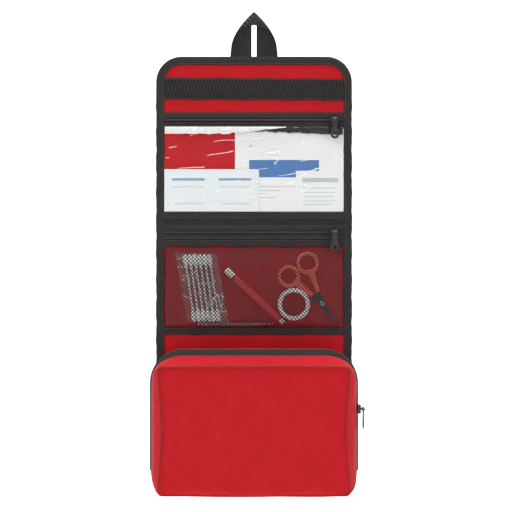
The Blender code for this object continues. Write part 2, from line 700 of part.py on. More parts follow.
def scissors(pocket_foot):
    """Small first aid scissors, closed, tip down to the right."""
    pivot = (PIVOT_X, pocket_foot + SCISSOR_RISE)
    back = SCISSOR_ANGLE + 180
    rear_layer = FACE
    front_layer = rear_layer - BLADE_THICKNESS - GAP
    blade("scissor_blade_moving", pivot, -1, rear_layer)
    grip("scissor_grip_moving", pivot, back - GRIP_SPREAD, rear_layer)
    blade("scissor_blade_fixed", pivot, 1, front_layer)
    grip("scissor_grip_fixed", pivot, back + GRIP_SPREAD, rear_layer)
    head = front_layer - BLADE_THICKNESS - GAP
    reach = FACE - head
    turned("scissor_rivet", [(0.0, RIVET_PIN), (reach, RIVET_PIN), (reach + 0.02, RIVET_HEAD),
                             (reach + 0.5, RIVET_HEAD), (reach + 0.9, RIVET_HEAD * 0.7)],
           12, steel(), (pivot[0], FACE, pivot[1]), (0.0, -1.0, 0.0))


def lower_panel():
    """Panel with the mesh pocket, its zip and the tools in it."""
    fold = HALF_FABRIC + 0.2
    fabric_panel("lower_panel", MIDDLE_FOLD_Z - fold, POUCH_FOLD_Z + fold)
    for name, side in (("lower_binding_left", -1), ("lower_binding_right", 1)):
        side_binding(name, side, MIDDLE_FOLD_Z - FOLD_GAP, POUCH_FOLD_Z + FOLD_GAP)
    tape_foot = panel_zip("lower", MIDDLE_FOLD_Z - LOWER_ZIP_DROP)
    facing_foot = tape_foot - GAP - (LOWER_FACING - ZIP_TAPE_BOTTOM_HEIGHT)
    box("mesh_facing", (-CONTENT_HALF, FACE - STRIP_THICKNESS, facing_foot),
        (CONTENT_HALF, FACE, tape_foot - GAP), black())
    band_foot = POUCH_FOLD_Z + BOTTOM_BAND_RISE
    band_top = band_foot + BOTTOM_BAND
    box("bottom_band", (-CONTENT_HALF, FACE - STRIP_THICKNESS, band_foot),
        (CONTENT_HALF, FACE, band_top), black())
    top, foot = facing_foot - GAP, band_top + GAP
    pocket_front("mesh_window", top, foot, MESH_EDGE, MESH_BULGE, MESH_STEP, 10,
                 material("black_mesh", (0.05, 0.04, 0.04)))
    swabs(top - BAG_DROP, foot + BAG_RISE, -CONTENT_HALF * BAG_SIDE)
    probe_tool(foot)
    tape_roll(foot)
    tweezers(foot)
    scissors(foot)


# ---- pouch ------------------------------------------------------------------------------
def zip_ring(inset):
    """Outline of the pouch at its zip, moved inwards by an inset."""
    return hoop_outline(RING_HALF - inset, RING_TOP - inset, RING_FOOT + inset,
                        RING_TOP_RADIUS - inset, RING_FOOT_RADIUS - inset)


def back_ring(inset):
    """Outline of the pouch where it is sewn to its back panel."""
    top = POUCH_FOLD_Z - POUCH_TOP_DROP + 4.0
    return hoop_outline(HALF_PANEL - 1.0 - inset, top - inset, RING_FOOT + 2.0 + inset,
                        6.0 - inset, 6.0 - inset)


def front_ring(inset):
    """Outline of the pouch at its front seam."""
    return hoop_outline(FRONT_HALF - inset, FRONT_TOP - inset, RING_FOOT + 2.0 + inset,
                        5.0 - inset, 5.0 - inset, FRONT_WAIST)


def wall_ring(name, outline_a, y_a, outline_b, y_b, finish):
    """Gusset or tape: a wall that runs round the pouch from one outline to another."""
    ring_of(name, [at_depth(outline_a(0.0), y_a), at_depth(outline_b(0.0), y_b),
                   at_depth(outline_b(SHELL_WALL), y_b), at_depth(outline_a(SHELL_WALL), y_a)],
            finish)


def pouch():
    """Zipped pouch: a rear tray on the back panel and a front lid hinged at the foot."""
    top = POUCH_FOLD_Z - HALF_FABRIC - 0.2
    half = HALF_PANEL - 0.6
    box("pouch_back", (-half, -HALF_FABRIC, RING_FOOT), (half, HALF_FABRIC, top), red())
    strip_foot = RING_FOOT + LOOP_STRIP_RISE
    box("loop_strip", (-INNER_HALF, HALF_FABRIC + GAP, strip_foot),
        (INNER_HALF, HALF_FABRIC + GAP + STRIP_THICKNESS, strip_foot + HOOK_STRIP_HEIGHT),
        black())
    coil_rear = RING_Y + POUCH_COIL / 2
    coil_front = RING_Y - POUCH_COIL / 2
    rear_tape = coil_rear + GAP
    front_tape = coil_front - GAP
    rear_edge = rear_tape + ZIP_BAND + GAP
    front_edge = front_tape - ZIP_BAND - GAP
    wall_ring("rear_gusset", back_ring, FACE, zip_ring, rear_edge, red())
    wall_ring("pouch_zip_tape_rear", zip_ring, rear_tape + ZIP_BAND, zip_ring, rear_tape, black())
    foot = RING_FOOT + RING_FOOT_RADIUS
    path, inward = arch_path(RING_HALF, RING_TOP, foot, RING_TOP_RADIUS, 5)
    profile = [(-COIL_PROUD, coil_rear), (-COIL_PROUD, coil_front), (SHELL_WALL, coil_front),
               (SHELL_WALL, coil_rear)]
    swept("pouch_zip_coil", path, inward, profile, black())
    wall_ring("pouch_zip_tape_front", zip_ring, front_tape, zip_ring, front_tape - ZIP_BAND,
              black())
    front_y = -POUCH_DEPTH
    wall_ring("front_gusset", zip_ring, front_edge, front_ring, front_y + FABRIC + GAP, red())
    prism("front_panel", front_ring(0.0), front_y, front_y + FABRIC, red())
    spot = shift(RING_HALF - SHELL_WALL, RING_Y, RING_TOP - POUCH_SLIDER_DROP)
    outward = Matrix.Rotation(math.radians(90), 4, "Z")
    upright = outward @ Matrix.Rotation(math.radians(90), 4, "Y")
    pin = slider("pouch_slider", spot @ upright, spot @ outward, POUCH_COIL / 2 + 0.1,
                 COIL_PROUD + SHELL_WALL, SHELL_WALL + 0.5, POUCH_PIN_OUT)
    pull("pouch_pull", spot @ outward, pin)
    radius = (POUCH_DEPTH - 2 * FABRIC - BANDAGE_SLACK) / 2
    near = BANDAGE_APART / 2
    for index, side in enumerate((-1, 1)):
        start = near if side > 0 else -near - BANDAGE_WIDTH
        rim = [(0.0, radius - 1.5), (1.5, radius), (BANDAGE_WIDTH - 1.5, radius),
               (BANDAGE_WIDTH, radius - 1.5)]
        turned(f"bandage_roll_{index + 1}", rim, 20, white(),
               (start, FACE - 0.8 - radius, RING_FOOT + SHELL_WALL + BANDAGE_RISE + radius),
               (1.0, 0.0, 0.0))


def main():
    for old in list(bpy.data.objects):
        bpy.data.objects.remove(old, do_unlink=True)
    hanging_loop()
    flap()
    upper_panel()
    lower_panel()
    pouch()


main()
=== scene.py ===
"""Looks for the hanging first aid kit: webbing loop, pocket panels and zipped pouch.

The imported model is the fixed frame.
"""

import json
import logging
import math
from dataclasses import dataclass
from enum import Enum

import bmesh
import bpy
import numpy as np
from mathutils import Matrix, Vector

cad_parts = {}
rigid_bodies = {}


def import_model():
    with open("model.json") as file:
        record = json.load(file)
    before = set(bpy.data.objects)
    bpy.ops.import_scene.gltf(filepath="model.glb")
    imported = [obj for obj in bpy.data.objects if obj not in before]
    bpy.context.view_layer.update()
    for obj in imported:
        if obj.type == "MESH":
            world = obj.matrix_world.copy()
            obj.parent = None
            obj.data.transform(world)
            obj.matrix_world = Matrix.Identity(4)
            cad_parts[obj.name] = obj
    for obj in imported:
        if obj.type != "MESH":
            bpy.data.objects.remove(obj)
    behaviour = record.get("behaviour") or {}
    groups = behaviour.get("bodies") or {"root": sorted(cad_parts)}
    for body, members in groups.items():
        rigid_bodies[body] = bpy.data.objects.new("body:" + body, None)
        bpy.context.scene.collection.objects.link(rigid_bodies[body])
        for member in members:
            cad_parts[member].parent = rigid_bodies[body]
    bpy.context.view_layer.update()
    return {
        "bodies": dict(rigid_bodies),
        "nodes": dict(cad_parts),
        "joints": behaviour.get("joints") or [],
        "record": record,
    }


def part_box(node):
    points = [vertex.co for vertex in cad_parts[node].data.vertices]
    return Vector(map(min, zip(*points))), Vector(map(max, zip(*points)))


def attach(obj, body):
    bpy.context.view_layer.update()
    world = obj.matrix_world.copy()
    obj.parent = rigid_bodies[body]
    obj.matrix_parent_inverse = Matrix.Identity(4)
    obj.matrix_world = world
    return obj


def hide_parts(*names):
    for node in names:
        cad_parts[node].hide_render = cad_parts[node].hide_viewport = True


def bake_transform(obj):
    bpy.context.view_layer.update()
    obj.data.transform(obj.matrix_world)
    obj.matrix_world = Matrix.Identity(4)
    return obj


LOG = logging.getLogger("first_aid_kit")
MM = 0.001
TAU = 2.0 * math.pi
COIL_PITCH = 1.25 * MM
AWAY = np.array((0.0, 1.0, 0.0))    # from the front to the back


# ---- shader building ----------------------------------------------------------------
class Signal:
    """A shader value; an expression on it adds the Math nodes that work it out."""

    def __init__(self, tree: "Shader", socket: bpy.types.NodeSocket) -> None:
        """Keeps the tree and the socket that carries the value."""
        self.tree = tree
        self.socket = socket

    def _with(self, operation: str, *terms: object) -> "Signal":
        """Adds one Math node for an operation on the given terms."""
        inputs = dict(enumerate(terms))
        return self.tree.node("ShaderNodeMath", {"operation": operation}, inputs)

    def __add__(self, other: object) -> "Signal":
        """Sum."""
        return self._with("ADD", self, other)

    __radd__ = __add__

    def __mul__(self, other: object) -> "Signal":
        """Product."""
        return self._with("MULTIPLY", self, other)

    __rmul__ = __mul__

    def __sub__(self, other: object) -> "Signal":
        """Difference."""
        return self._with("SUBTRACT", self, other)

    def __rsub__(self, other: object) -> "Signal":
        """Difference, the other way round."""
        return self._with("SUBTRACT", other, self)

    def __lt__(self, other: object) -> "Signal":
        """One where this is smaller than the other, else zero."""
        return self._with("LESS_THAN", self, other)

    def __gt__(self, other: object) -> "Signal":
        """One where this is larger than the other, else zero."""
        return self._with("GREATER_THAN", self, other)

    def __or__(self, other: object) -> "Signal":
        """The larger of two values."""
        return self._with("MAXIMUM", self, other)

    def __abs__(self) -> "Signal":
        """Size without sign."""
        return self._with("ABSOLUTE", self)

    def sine(self, period: float) -> "Signal":
        """Sine wave of a length, with this value as the distance."""
        angle = self * (TAU / period)
        return angle._with("SINE", angle)

    def between(self, low: float, high: float) -> "Signal":
        """One inside a span, zero outside it."""
        return (self > low) * (self < high)


class Shader:
    """A material's node tree under construction."""

    def __init__(self, name: str) -> None:
        """Starts an empty tree with its output node."""
        self.material = bpy.data.materials.new(name)
        self.material.use_nodes = True
        self.nodes = self.material.node_tree.nodes
        self.links = self.material.node_tree.links
        self.nodes.clear()
        self.output = self.nodes.new("ShaderNodeOutputMaterial")

    def node(self, kind: str, settings: dict | None = None, inputs: dict | None = None,
             out: int | str = 0) -> Signal:
        """Adds a node.

        Args:
            kind: The node's type.
            settings: Its own settings, set first; a list of stops under "stops" is a ramp's.
            inputs: Socket name or number to a Signal or a constant.
            out: Which output the result carries.

        Returns:
            A Signal on the chosen output.
        """
        made = self.nodes.new(kind)
        for key, value in (settings or {}).items():
            if key == "stops":
                for index, (place, colour) in enumerate(value):
                    stop = made.color_ramp.elements[index]
                    stop.position = place
                    stop.color = (*colour, 1.0)
            else:
                setattr(made, key, value)
        for key, value in (inputs or {}).items():
            if isinstance(value, Signal):
                self.links.new(value.socket, made.inputs[key])
            else:
                made.inputs[key].default_value = value
        return Signal(self, made.outputs[out])

    def place(self) -> tuple[Signal, Signal, Signal]:
        """Object coordinates of the shaded point, in metres."""
        spot = self.node("ShaderNodeTexCoord", out="Object")
        parts = [self.node("ShaderNodeSeparateXYZ", inputs={0: spot}, out=i) for i in range(3)]
        return parts[0], parts[1], parts[2]

    def cloth_place(self) -> tuple[Signal, Signal]:
        """The piece's own UV, in metres along and across it."""
        spot = self.node("ShaderNodeUVMap", {"uv_map": "cut"})
        return (self.node("ShaderNodeSeparateXYZ", inputs={0: spot}, out=0),
                self.node("ShaderNodeSeparateXYZ", inputs={0: spot}, out=1))

    def noise(self, scale: float, detail: float = 3.0, stretch: tuple = (1.0, 1.0, 1.0)) -> Signal:
        """Smooth noise on object coordinates; scale is in patches per metre."""
        spot = self.node("ShaderNodeTexCoord", out="Object")
        mapped = self.node("ShaderNodeMapping", inputs={0: spot, "Scale": stretch})
        return self.node("ShaderNodeTexNoise", inputs={"Vector": mapped, "Scale": scale,
                                                       "Detail": detail}, out="Fac")

    def blend(self, factor: object, first: object, second: object) -> Signal:
        """Colour mix; a factor of zero gives the first colour."""
        def dress(value: object) -> object:
            return (*value, 1.0) if isinstance(value, tuple) else value
        return self.node("ShaderNodeMix", {"data_type": "RGBA"},
                         {0: factor, 6: dress(first), 7: dress(second)}, out=2)

    def bump(self, height: Signal, distance: float, strength: float = 1.0) -> Signal:
        """Normal from a height between zero and one and its real depth."""
        return self.node("ShaderNodeBump", inputs={"Height": height, "Distance": distance,
                                                   "Strength": strength})

    def surface(self, **sockets: object) -> Signal:
        """Principled shader; underscores in a socket's name stand for spaces."""
        inputs = {key.replace("_", " "): value for key, value in sockets.items()}
        return self.node("ShaderNodeBsdfPrincipled", inputs=inputs)

    def close(self, shader: Signal) -> bpy.types.Material:
        """Joins a shader to the output and gives the finished material."""
        self.links.new(shader.socket, self.output.inputs["Surface"])
        return self.material


def shade(colour: tuple, factor: float) -> tuple:
    """Colour made darker or lighter by a factor."""
    return tuple(min(1.0, channel * factor) for channel in colour)


@dataclass(frozen=True)
class Nylon:
    """Woven nylon: a plain weave, faint slubs and a soft sheen."""

    name: str
    colour: tuple
    thread: float = 0.0007
    roughness: float = 0.62

    def build(self) -> bpy.types.Material:
        """Makes the material."""
        tree = Shader(self.name)
        x, y, z = tree.place()
        weave = (x + y * 0.7).sine(self.thread) * (z + y * 0.7).sine(self.thread)
        cloud = tree.noise(38.0, 4.0)
        slub = tree.noise(900.0, 2.0, (0.15, 1.0, 1.0))
        tone = tree.blend(cloud, shade(self.colour, 0.84), shade(self.colour, 1.12))
        tone = tree.blend(slub * 0.25, tone, shade(self.colour, 0.6))
        height = weave * 0.25 + slub * 0.5 + cloud * 0.3
        return tree.close(tree.surface(
            Base_Color=tone, Roughness=self.roughness + slub * 0.12,
            Normal=tree.bump(height, 0.00035, 0.5), Sheen_Weight=0.04, Sheen_Roughness=0.4,
            Specular_IOR_Level=0.16))


@dataclass(frozen=True)
class Ribbed:
    """Woven tape: ribs along or across it, and the threads between them."""

    name: str
    colour: tuple
    rib: float
    cross: float
    depth: float = 0.0003
    roughness: float = 0.7
    slant: float = 0.0
    upright: float = 1.0

    def build(self) -> bpy.types.Material:
        """Makes the material on the piece's own UV; its colour follows the rib height as painted shade and
        highlight.
        """
        tree = Shader(self.name)
        along, across = tree.cloth_place()
        ribs = (across * self.upright + along * self.slant).sine(self.rib)
        threads = along.sine(self.cross)
        cloud = tree.noise(60.0, 3.0)
        height = ribs * 0.5 + threads * ribs * 0.25 + 0.5
        # Colour from the rib height: grooves darker as painted shade, crests lighter as painted highlight;
        # the cloud adds random tone.
        tone = tree.blend(height * 0.7 + cloud * 0.3, shade(self.colour, 0.45),
                          shade(self.colour, 1.7))
        return tree.close(tree.surface(
            Base_Color=tone, Roughness=self.roughness + cloud * 0.15,
            Normal=tree.bump(height, self.depth, 0.8), Specular_IOR_Level=0.18))


@dataclass(frozen=True)
class Film:
    """Clear plastic film: mostly let through; a white glossy layer mixes in along a crease mask and thin
    streak lines, real gloss with painted highlights from its white colour.
    """

    name: str
    haze: float
    crease: float
    scale: float
    stretch: tuple = (1.0, 1.0, 1.0)
    thin: float = 40.0
    streaks: float = 0.021

    def build(self) -> bpy.types.Material:
        """Makes the material."""
        tree = Shader(self.name)
        fold = tree.noise(self.scale, 3.0, self.stretch)
        # Thin line where the noise crosses its middle, kept in patches: the crease mask for the painted
        # highlights.
        line = 1.0 - abs(fold - 0.5) * self.thin
        patch = tree.noise(self.scale * 0.6, 2.0)
        crease = (line | 0.0) * ((patch - 0.52) * 9.0 | 0.0)
        x, _, z = tree.place()
        # Thin slanting lines, gated by noise, where the white layer shows: painted glints.
        painted_glint_lines = (z - x * 0.12 + fold * 0.012).sine(self.streaks)
        gate = tree.noise(75.0, 1.0, (0.55, 1.0, 1.6)) > 0.56
        crease = crease | (abs(painted_glint_lines) < 0.07) * gate
        normal = tree.bump(fold, 0.004, 0.6)
        gloss = tree.surface(Base_Color=(0.93, 0.95, 0.96, 1.0), Roughness=0.08, Normal=normal,
                             Specular_IOR_Level=0.8, Coat_Weight=0.5)
        clear = tree.node("ShaderNodeBsdfTransparent")
        # Mixes the white glossy layer in on the crease mask and the glint lines as painted highlights; haze
        # is a constant share of it, the film's own milkiness.
        factor = crease * self.crease + self.haze
        return tree.close(tree.node("ShaderNodeMixShader", inputs={
            0: factor, 1: clear, 2: gloss}))


@dataclass(frozen=True)
class Printed:
    """Packet paper with plain printed bars; each bar is (x0, x1, z0, z1, colour)."""

    name: str
    paper: tuple
    bars: tuple
    roughness: float = 0.38

    def build(self) -> bpy.types.Material:
        """Makes the material; bars lie in object coordinates, in metres."""
        tree = Shader(self.name)
        x, _, z = tree.place()
        grain = tree.noise(420.0, 3.0)
        tone = tree.blend(grain * 0.5, self.paper, shade(self.paper, 0.93))
        for x0, x1, z0, z1, colour in self.bars:
            tone = tree.blend(x.between(x0, x1) * z.between(z0, z1), tone, colour)
        return tree.close(tree.surface(Base_Color=tone, Roughness=self.roughness,
                                       Normal=tree.bump(grain, 0.0004, 0.5),
                                       Coat_Weight=0.15))


@dataclass(frozen=True)
class Solid:
    """Moulded plastic, metal, cotton or paper: one tone with grain, wear and its own gloss."""

    name: str
    colour: tuple
    roughness: float
    metallic: float = 0.0
    grain: float = 300.0
    relief: float = 0.0001
    mottle: float = 0.1
    stretch: tuple = (1.0, 1.0, 1.0)

    def build(self) -> bpy.types.Material:
        """Makes the material."""
        tree = Shader(self.name)
        grain = tree.noise(self.grain, 4.0, self.stretch)
        cloud = tree.noise(self.grain * 0.12, 2.0)
        tone = tree.blend(cloud, shade(self.colour, 1.0 - self.mottle),
                          shade(self.colour, 1.0 + self.mottle))
        return tree.close(tree.surface(
            Base_Color=tone, Roughness=self.roughness + (grain - 0.5) * 0.25,
            Metallic=self.metallic, Normal=tree.bump(grain, self.relief, 0.6)))


class Finish(Enum):
    RED = ("red_nylon", Nylon("red_nylon_weave", (0.49, 0.006, 0.012)))
    BINDING = ("black_webbing", Ribbed("edge_binding", (0.026, 0.024, 0.023), 0.0011, 0.0009,
                                       0.0002))
    WEBBING = ("black_webbing", Ribbed("loop_webbing", (0.022, 0.021, 0.020), 0.0022, 0.0016,
                                       0.0006))
    ZIP_TAPE = ("black_webbing", Ribbed("zip_tape", (0.030, 0.027, 0.025), 0.0016, 0.0013,
                                        0.0004))
    # The hood is the legs' webbing given a lighter colour: painted light on the folded hood against the
    # legs below it.
    HOOD = ("black_webbing", Ribbed("hood_webbing", (0.034, 0.033, 0.031), 0.0030, 0.0022,
                                    0.0012, 0.6, 0.7))
    HOOKS = ("black_webbing", Ribbed("hook_tape", (0.022, 0.020, 0.020), 0.0034, 0.0011, 0.0009,
                                     0.6, 1.0, 0.22))
    # Black thread lifted to dark grey so that the stitch rows read as lighter lines: partly the thread's
    # own colour, partly painted highlight.
    THREAD = ("black_webbing", Solid("black_thread", (0.06, 0.058, 0.055), 0.6, grain=2000.0))
    RED_THREAD = ("red_nylon", Solid("red_thread", (0.26, 0.004, 0.008), 0.8, grain=2000.0))
    COIL = ("black_webbing", Solid("nylon_coil", (0.020, 0.018, 0.018), 0.35, grain=1500.0))
    NET = ("black_mesh", Solid("net_strand", (0.014, 0.012, 0.012), 0.6, grain=2500.0))
    WINDOW = ("clear_vinyl", Film("window_vinyl", 0.006, 0.8, 55.0, (0.22, 1.0, 1.0),
                                   60.0))
    WINDOW_HEM = ("clear_vinyl", Film("window_hem", 0.62, 0.9, 130.0, (0.5, 1.0, 1.0)))
    DARK_HEM = ("clear_vinyl", Solid("dark_hem", (0.012, 0.011, 0.011), 0.12, 0.0, 260.0, 0.003,
                                     0.3))
    BAG = ("bag_film", Film("swab_bag_film", 0.04, 0.85, 120.0, (1.0, 1.0, 0.4), 26.0))
    METAL = ("zip_metal", Solid("zip_gunmetal", (0.055, 0.052, 0.052), 0.38, 0.6, 500.0,
                                0.00008, 0.2))
    STEEL = ("steel", Solid("brushed_steel", (0.50, 0.50, 0.51), 0.28, 1.0, 900.0, 0.00004,
                            0.12, (0.1, 1.0, 1.0)))
    DARK_STEEL = ("steel", Solid("scissor_steel", (0.075, 0.078, 0.082), 0.33, 0.7, 900.0,
                                 0.00004, 0.2, (0.2, 1.0, 1.0)))
    COTTON = ("white_cotton", Solid("cotton_wool", (0.93, 0.93, 0.91), 0.95, 0.0, 1400.0,
                                    0.0008, 0.05))
    PAPER_STICK = ("white_cotton", Solid("paper_stick", (0.80, 0.79, 0.75), 0.6, 0.0, 900.0,
                                         0.0001, 0.04))
    TAPE = ("white_cotton", Solid("adhesive_tape", (0.85, 0.85, 0.83), 0.6, 0.0, 700.0,
                                  0.0002, 0.05))
    WHITE_PLASTIC = ("white_plastic", Solid("white_moulding", (0.85, 0.85, 0.84), 0.35))
    PROBE = ("red_plastic", Solid("probe_moulding", (0.80, 0.035, 0.035), 0.22))
    GRIP = ("orange_plastic", Solid("grip_moulding", (0.86, 0.12, 0.05), 0.36))

    def material(self) -> bpy.types.Material:
        """This finish's material, built the first time it is asked for."""
        return bpy.data.materials.get(self.value[1].name) or self.value[1].build()

    def dress(self, piece: bpy.types.Object) -> None:
        """Gives a piece this finish."""
        piece.data.materials.clear()
        piece.data.materials.append(self.material())


# ---- surfaces -------------------------------------------------------------------------
def box_of(node: str) -> tuple[np.ndarray, np.ndarray]:
    """Low and high corners of a CAD node's box."""
    low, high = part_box(node)
    return np.array(low), np.array(high)


def stacked(*parts: object) -> np.ndarray:
    """Points from their coordinates, each spread to the shape of the others."""
    return np.stack(np.broadcast_arrays(*parts), axis=-1)


def stand_in(piece: bpy.types.Object, body: str, node: str) -> None:
    """Rides a piece on its body and lets it take a CAD node's place."""
    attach(piece, body)
    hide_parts(node)


def keep(node: bpy.types.Object, finish: Finish) -> None:
    """Keeps a CAD node's shape and gives it its finish."""
    node.data.materials.clear()
    node.data.materials.append(finish.material())


def grid_faces(rows: int, columns: int) -> tuple[np.ndarray, np.ndarray]:
    """Point numbers of a grid, and the four corners of each face between its points."""
    index = np.arange(rows * columns).reshape(rows, columns)
    quads = np.stack([index[:-1, :-1], index[1:, :-1], index[1:, 1:], index[:-1, 1:]], axis=-1)
    return index, quads.reshape(-1, 4)


def tube_faces(count: int, around: int, closed: bool = False) -> tuple[np.ndarray, np.ndarray]:
    """Point numbers of a tube's rings, and the four corners of each face between them."""
    index = np.arange(count * around).reshape(count, around)
    turned = np.roll(index, -1, axis=1)
    quads = np.stack([index, turned, np.roll(turned, -1, axis=0), np.roll(index, -1, axis=0)],
                     axis=-1)
    return index, (quads if closed else quads[:-1]).reshape(-1, 4)


def mesh_piece(name: str, points: np.ndarray, faces: list, uv: np.ndarray | None,
               finish: Finish, sharp: float = 45.0) -> bpy.types.Object:
    """Puts points and faces into a smooth-shaded object at the origin.

    Args:
        name: The piece's name.
        points: Places in metres, one row each.
        faces: Corner numbers of each face.
        uv: Metres along and across the cloth for each point, or None.
        finish: What it is made of.
        sharp: Edges that turn more than this many degrees stay crisp.

    Returns:
        The object.
    """
    mesh = bpy.data.meshes.new(name)
    mesh.from_pydata(points.reshape(-1, 3).tolist(), [], faces)
    if uv is not None:
        layer = mesh.uv_layers.new(name="cut")
        corners = np.empty(len(mesh.loops), dtype=np.int32)
        mesh.loops.foreach_get("vertex_index", corners)
        layer.data.foreach_set("uv", uv.reshape(-1, 2)[corners].ravel())
    work = bmesh.new()
    work.from_mesh(mesh)
    bmesh.ops.recalc_face_normals(work, faces=work.faces)
    work.to_mesh(mesh)
    work.free()
    mesh.shade_smooth()
    mesh.set_sharp_from_angle(angle=math.radians(sharp))
    piece = bpy.data.objects.new(name, mesh)
    bpy.context.collection.objects.link(piece)
    finish.dress(piece)
    LOG.info("%s: %d points", name, len(mesh.vertices))
    return piece


def spans(grid: np.ndarray) -> np.ndarray:
    """Metres along and across a grid of points: running sums of the mean step lengths."""
    rows = np.linalg.norm(np.diff(grid, axis=0), axis=2).mean(axis=1)
    columns = np.linalg.norm(np.diff(grid, axis=1), axis=2).mean(axis=0)
    u = np.concatenate([[0.0], np.cumsum(rows)])
    v = np.concatenate([[0.0], np.cumsum(columns)])
    return np.stack(np.meshgrid(u, v, indexing="ij"), axis=-1)


def slab(name: str, outer: np.ndarray, inner: np.ndarray, finish: Finish,
         sharp: float = 45.0) -> bpy.types.Object:
    """Closed sheet between two matching grids of points, joined round their edge.

    Args:
        name: The piece's name.
        outer: Grid (along, across, xyz) of one face.
        inner: The other face, point for point.
        finish: What it is made of.
        sharp: Crease angle in degrees.

    Returns:
        The object.
    """
    index, quads = grid_faces(*outer.shape[:2])
    offset = index.size
    rim = np.concatenate([index[0, :], index[1:, -1], index[-1, -2::-1], index[-2:0:-1, 0]])
    after = np.roll(rim, -1)
    sides = np.stack([rim, after, after + offset, rim + offset], axis=-1)
    faces = np.concatenate([quads, quads[:, ::-1] + offset, sides]).tolist()
    uv = spans(outer)
    points = np.concatenate([outer.reshape(-1, 3), inner.reshape(-1, 3)])
    return mesh_piece(name, points, faces, np.concatenate([uv.reshape(-1, 2)] * 2), finish, sharp)


def sleeve(name: str, rings: np.ndarray, finish: Finish, closed: bool = False,
           sharp: float = 45.0) -> bpy.types.Object:
    """Closed section carried along a path, its ends capped unless the path is a hoop.

    Args:
        name: The piece's name.
        rings: Grid (along the path, round the section, xyz).
        finish: What it is made of.
        closed: True where the last ring joins the first.
        sharp: Crease angle in degrees.

    Returns:
        The object.
    """
    index, quads = tube_faces(*rings.shape[:2], closed)
    faces = quads.tolist()
    if not closed:
        faces += [index[0, ::-1].tolist(), index[-1].tolist()]
    return mesh_piece(name, rings, faces, spans(rings).reshape(-1, 2), finish, sharp)


def along_path(path: np.ndarray, inward: np.ndarray, section: np.ndarray) -> np.ndarray:
    """Rings of a section of (distance inward, y) at each (x, z) point of a path."""
    flat = path[:, None, :] + inward[:, None, :] * section[None, :, :1]
    depth = np.broadcast_to(section[None, :, 1], flat.shape[:2])
    return stacked(flat[..., 0], depth, flat[..., 1])


def turned_rings(base: np.ndarray, along: np.ndarray, profile: np.ndarray,
                 around: int = 20) -> np.ndarray:
    """Rings of a profile of (reach, radius) turned about a line from its base."""
    along = along / np.linalg.norm(along)
    side = np.cross(along, (0.0, 1.0, 0.0))
    side = side / np.linalg.norm(side) if np.linalg.norm(side) > 0.1 else np.array((1.0, 0, 0))
    other = np.cross(along, side)
    angle = np.linspace(0.0, TAU, around, endpoint=False)
    round_ = np.cos(angle)[:, None] * side + np.sin(angle)[:, None] * other
    centre = base + profile[:, :1] * along
    return centre[:, None, :] + profile[:, 1][:, None, None] * round_[None]


def stitches(name: str, path: np.ndarray, finish: Finish, length: float = 2.6 * MM,
             gap: float = 0.9 * MM, thick: float = 0.28 * MM) -> bpy.types.Object:
    """Row of sewn stitches along a path: each is a short spindle of eight faces and a waist."""
    steps = np.linalg.norm(np.diff(path, axis=0), axis=1)
    reach = np.concatenate([[0.0], np.cumsum(steps)])
    starts = np.arange(0.0, reach[-1] - length, length + gap)

    def at(distance: np.ndarray) -> np.ndarray:
        return np.stack([np.interp(distance, reach, path[:, k]) for k in range(3)], axis=-1)

    head, tail = at(starts), at(starts + length)
    run = (tail - head) / np.linalg.norm(tail - head, axis=1, keepdims=True)
    side = np.cross(run, np.array((0.0, 1.0, 0.0)))
    side /= np.maximum(np.linalg.norm(side, axis=1, keepdims=True), 1e-9)
    other = np.cross(run, side)
    rings = []
    for share in (0.18, 0.82):
        middle = head + (tail - head) * share
        rings += [middle + side * thick, middle + other * thick,
                  middle - side * thick, middle - other * thick]
    points = np.stack([head, *rings, tail], axis=1)
    near = [(0, 1 + (k + 1) % 4, 1 + k) for k in range(4)]
    waist = [(1 + k, 1 + (k + 1) % 4, 5 + (k + 1) % 4, 5 + k) for k in range(4)]
    far = [(9, 5 + k, 5 + (k + 1) % 4) for k in range(4)]
    faces = [[c + 10 * n for c in face] for n in range(len(head)) for face in near + waist + far]
    return mesh_piece(name, points.reshape(-1, 3), faces, None, finish, 180.0)


def ripple(x: np.ndarray, z: np.ndarray, seed: int, reach: float, waves: int = 7) -> np.ndarray:
    """Soft creases: a sum of sine waves with seeded directions, lengths and phases, -1 to 1."""
    source = np.random.default_rng(seed)
    total = np.zeros_like(x)
    for _ in range(waves):
        angle = source.uniform(0.0, math.pi)
        wave = source.uniform(0.6, 1.6) * reach
        phase = source.uniform(0.0, TAU)
        total += np.sin((x * math.cos(angle) + z * math.sin(angle)) * TAU / wave + phase)
    return total / waves


def arch(half: float, top: float, foot: float, radius: float,
         steps: int = 14) -> tuple[np.ndarray, np.ndarray]:
    """Open path up the left side, round both top corners and down the right, with inward."""
    left = np.radians(np.linspace(180.0, 90.0, steps))
    right = np.radians(np.linspace(90.0, 0.0, steps))
    upright = np.linspace(foot, top - radius, 8)[:-1]
    bridge = np.linspace(radius - half, half - radius, 24)[1:-1]
    path = np.concatenate([
        stacked(-half, upright),
        stacked(radius - half + radius * np.cos(left), top - radius + radius * np.sin(left)),
        stacked(bridge, top),
        stacked(half - radius + radius * np.cos(right), top - radius + radius * np.sin(right)),
        stacked(half, upright[::-1])])
    inward = np.concatenate([
        np.tile((1.0, 0.0), (7, 1)), stacked(-np.cos(left), -np.sin(left)),
        np.tile((0.0, -1.0), (22, 1)), stacked(-np.cos(right), -np.sin(right)),
        np.tile((-1.0, 0.0), (7, 1))])
    return path, inward


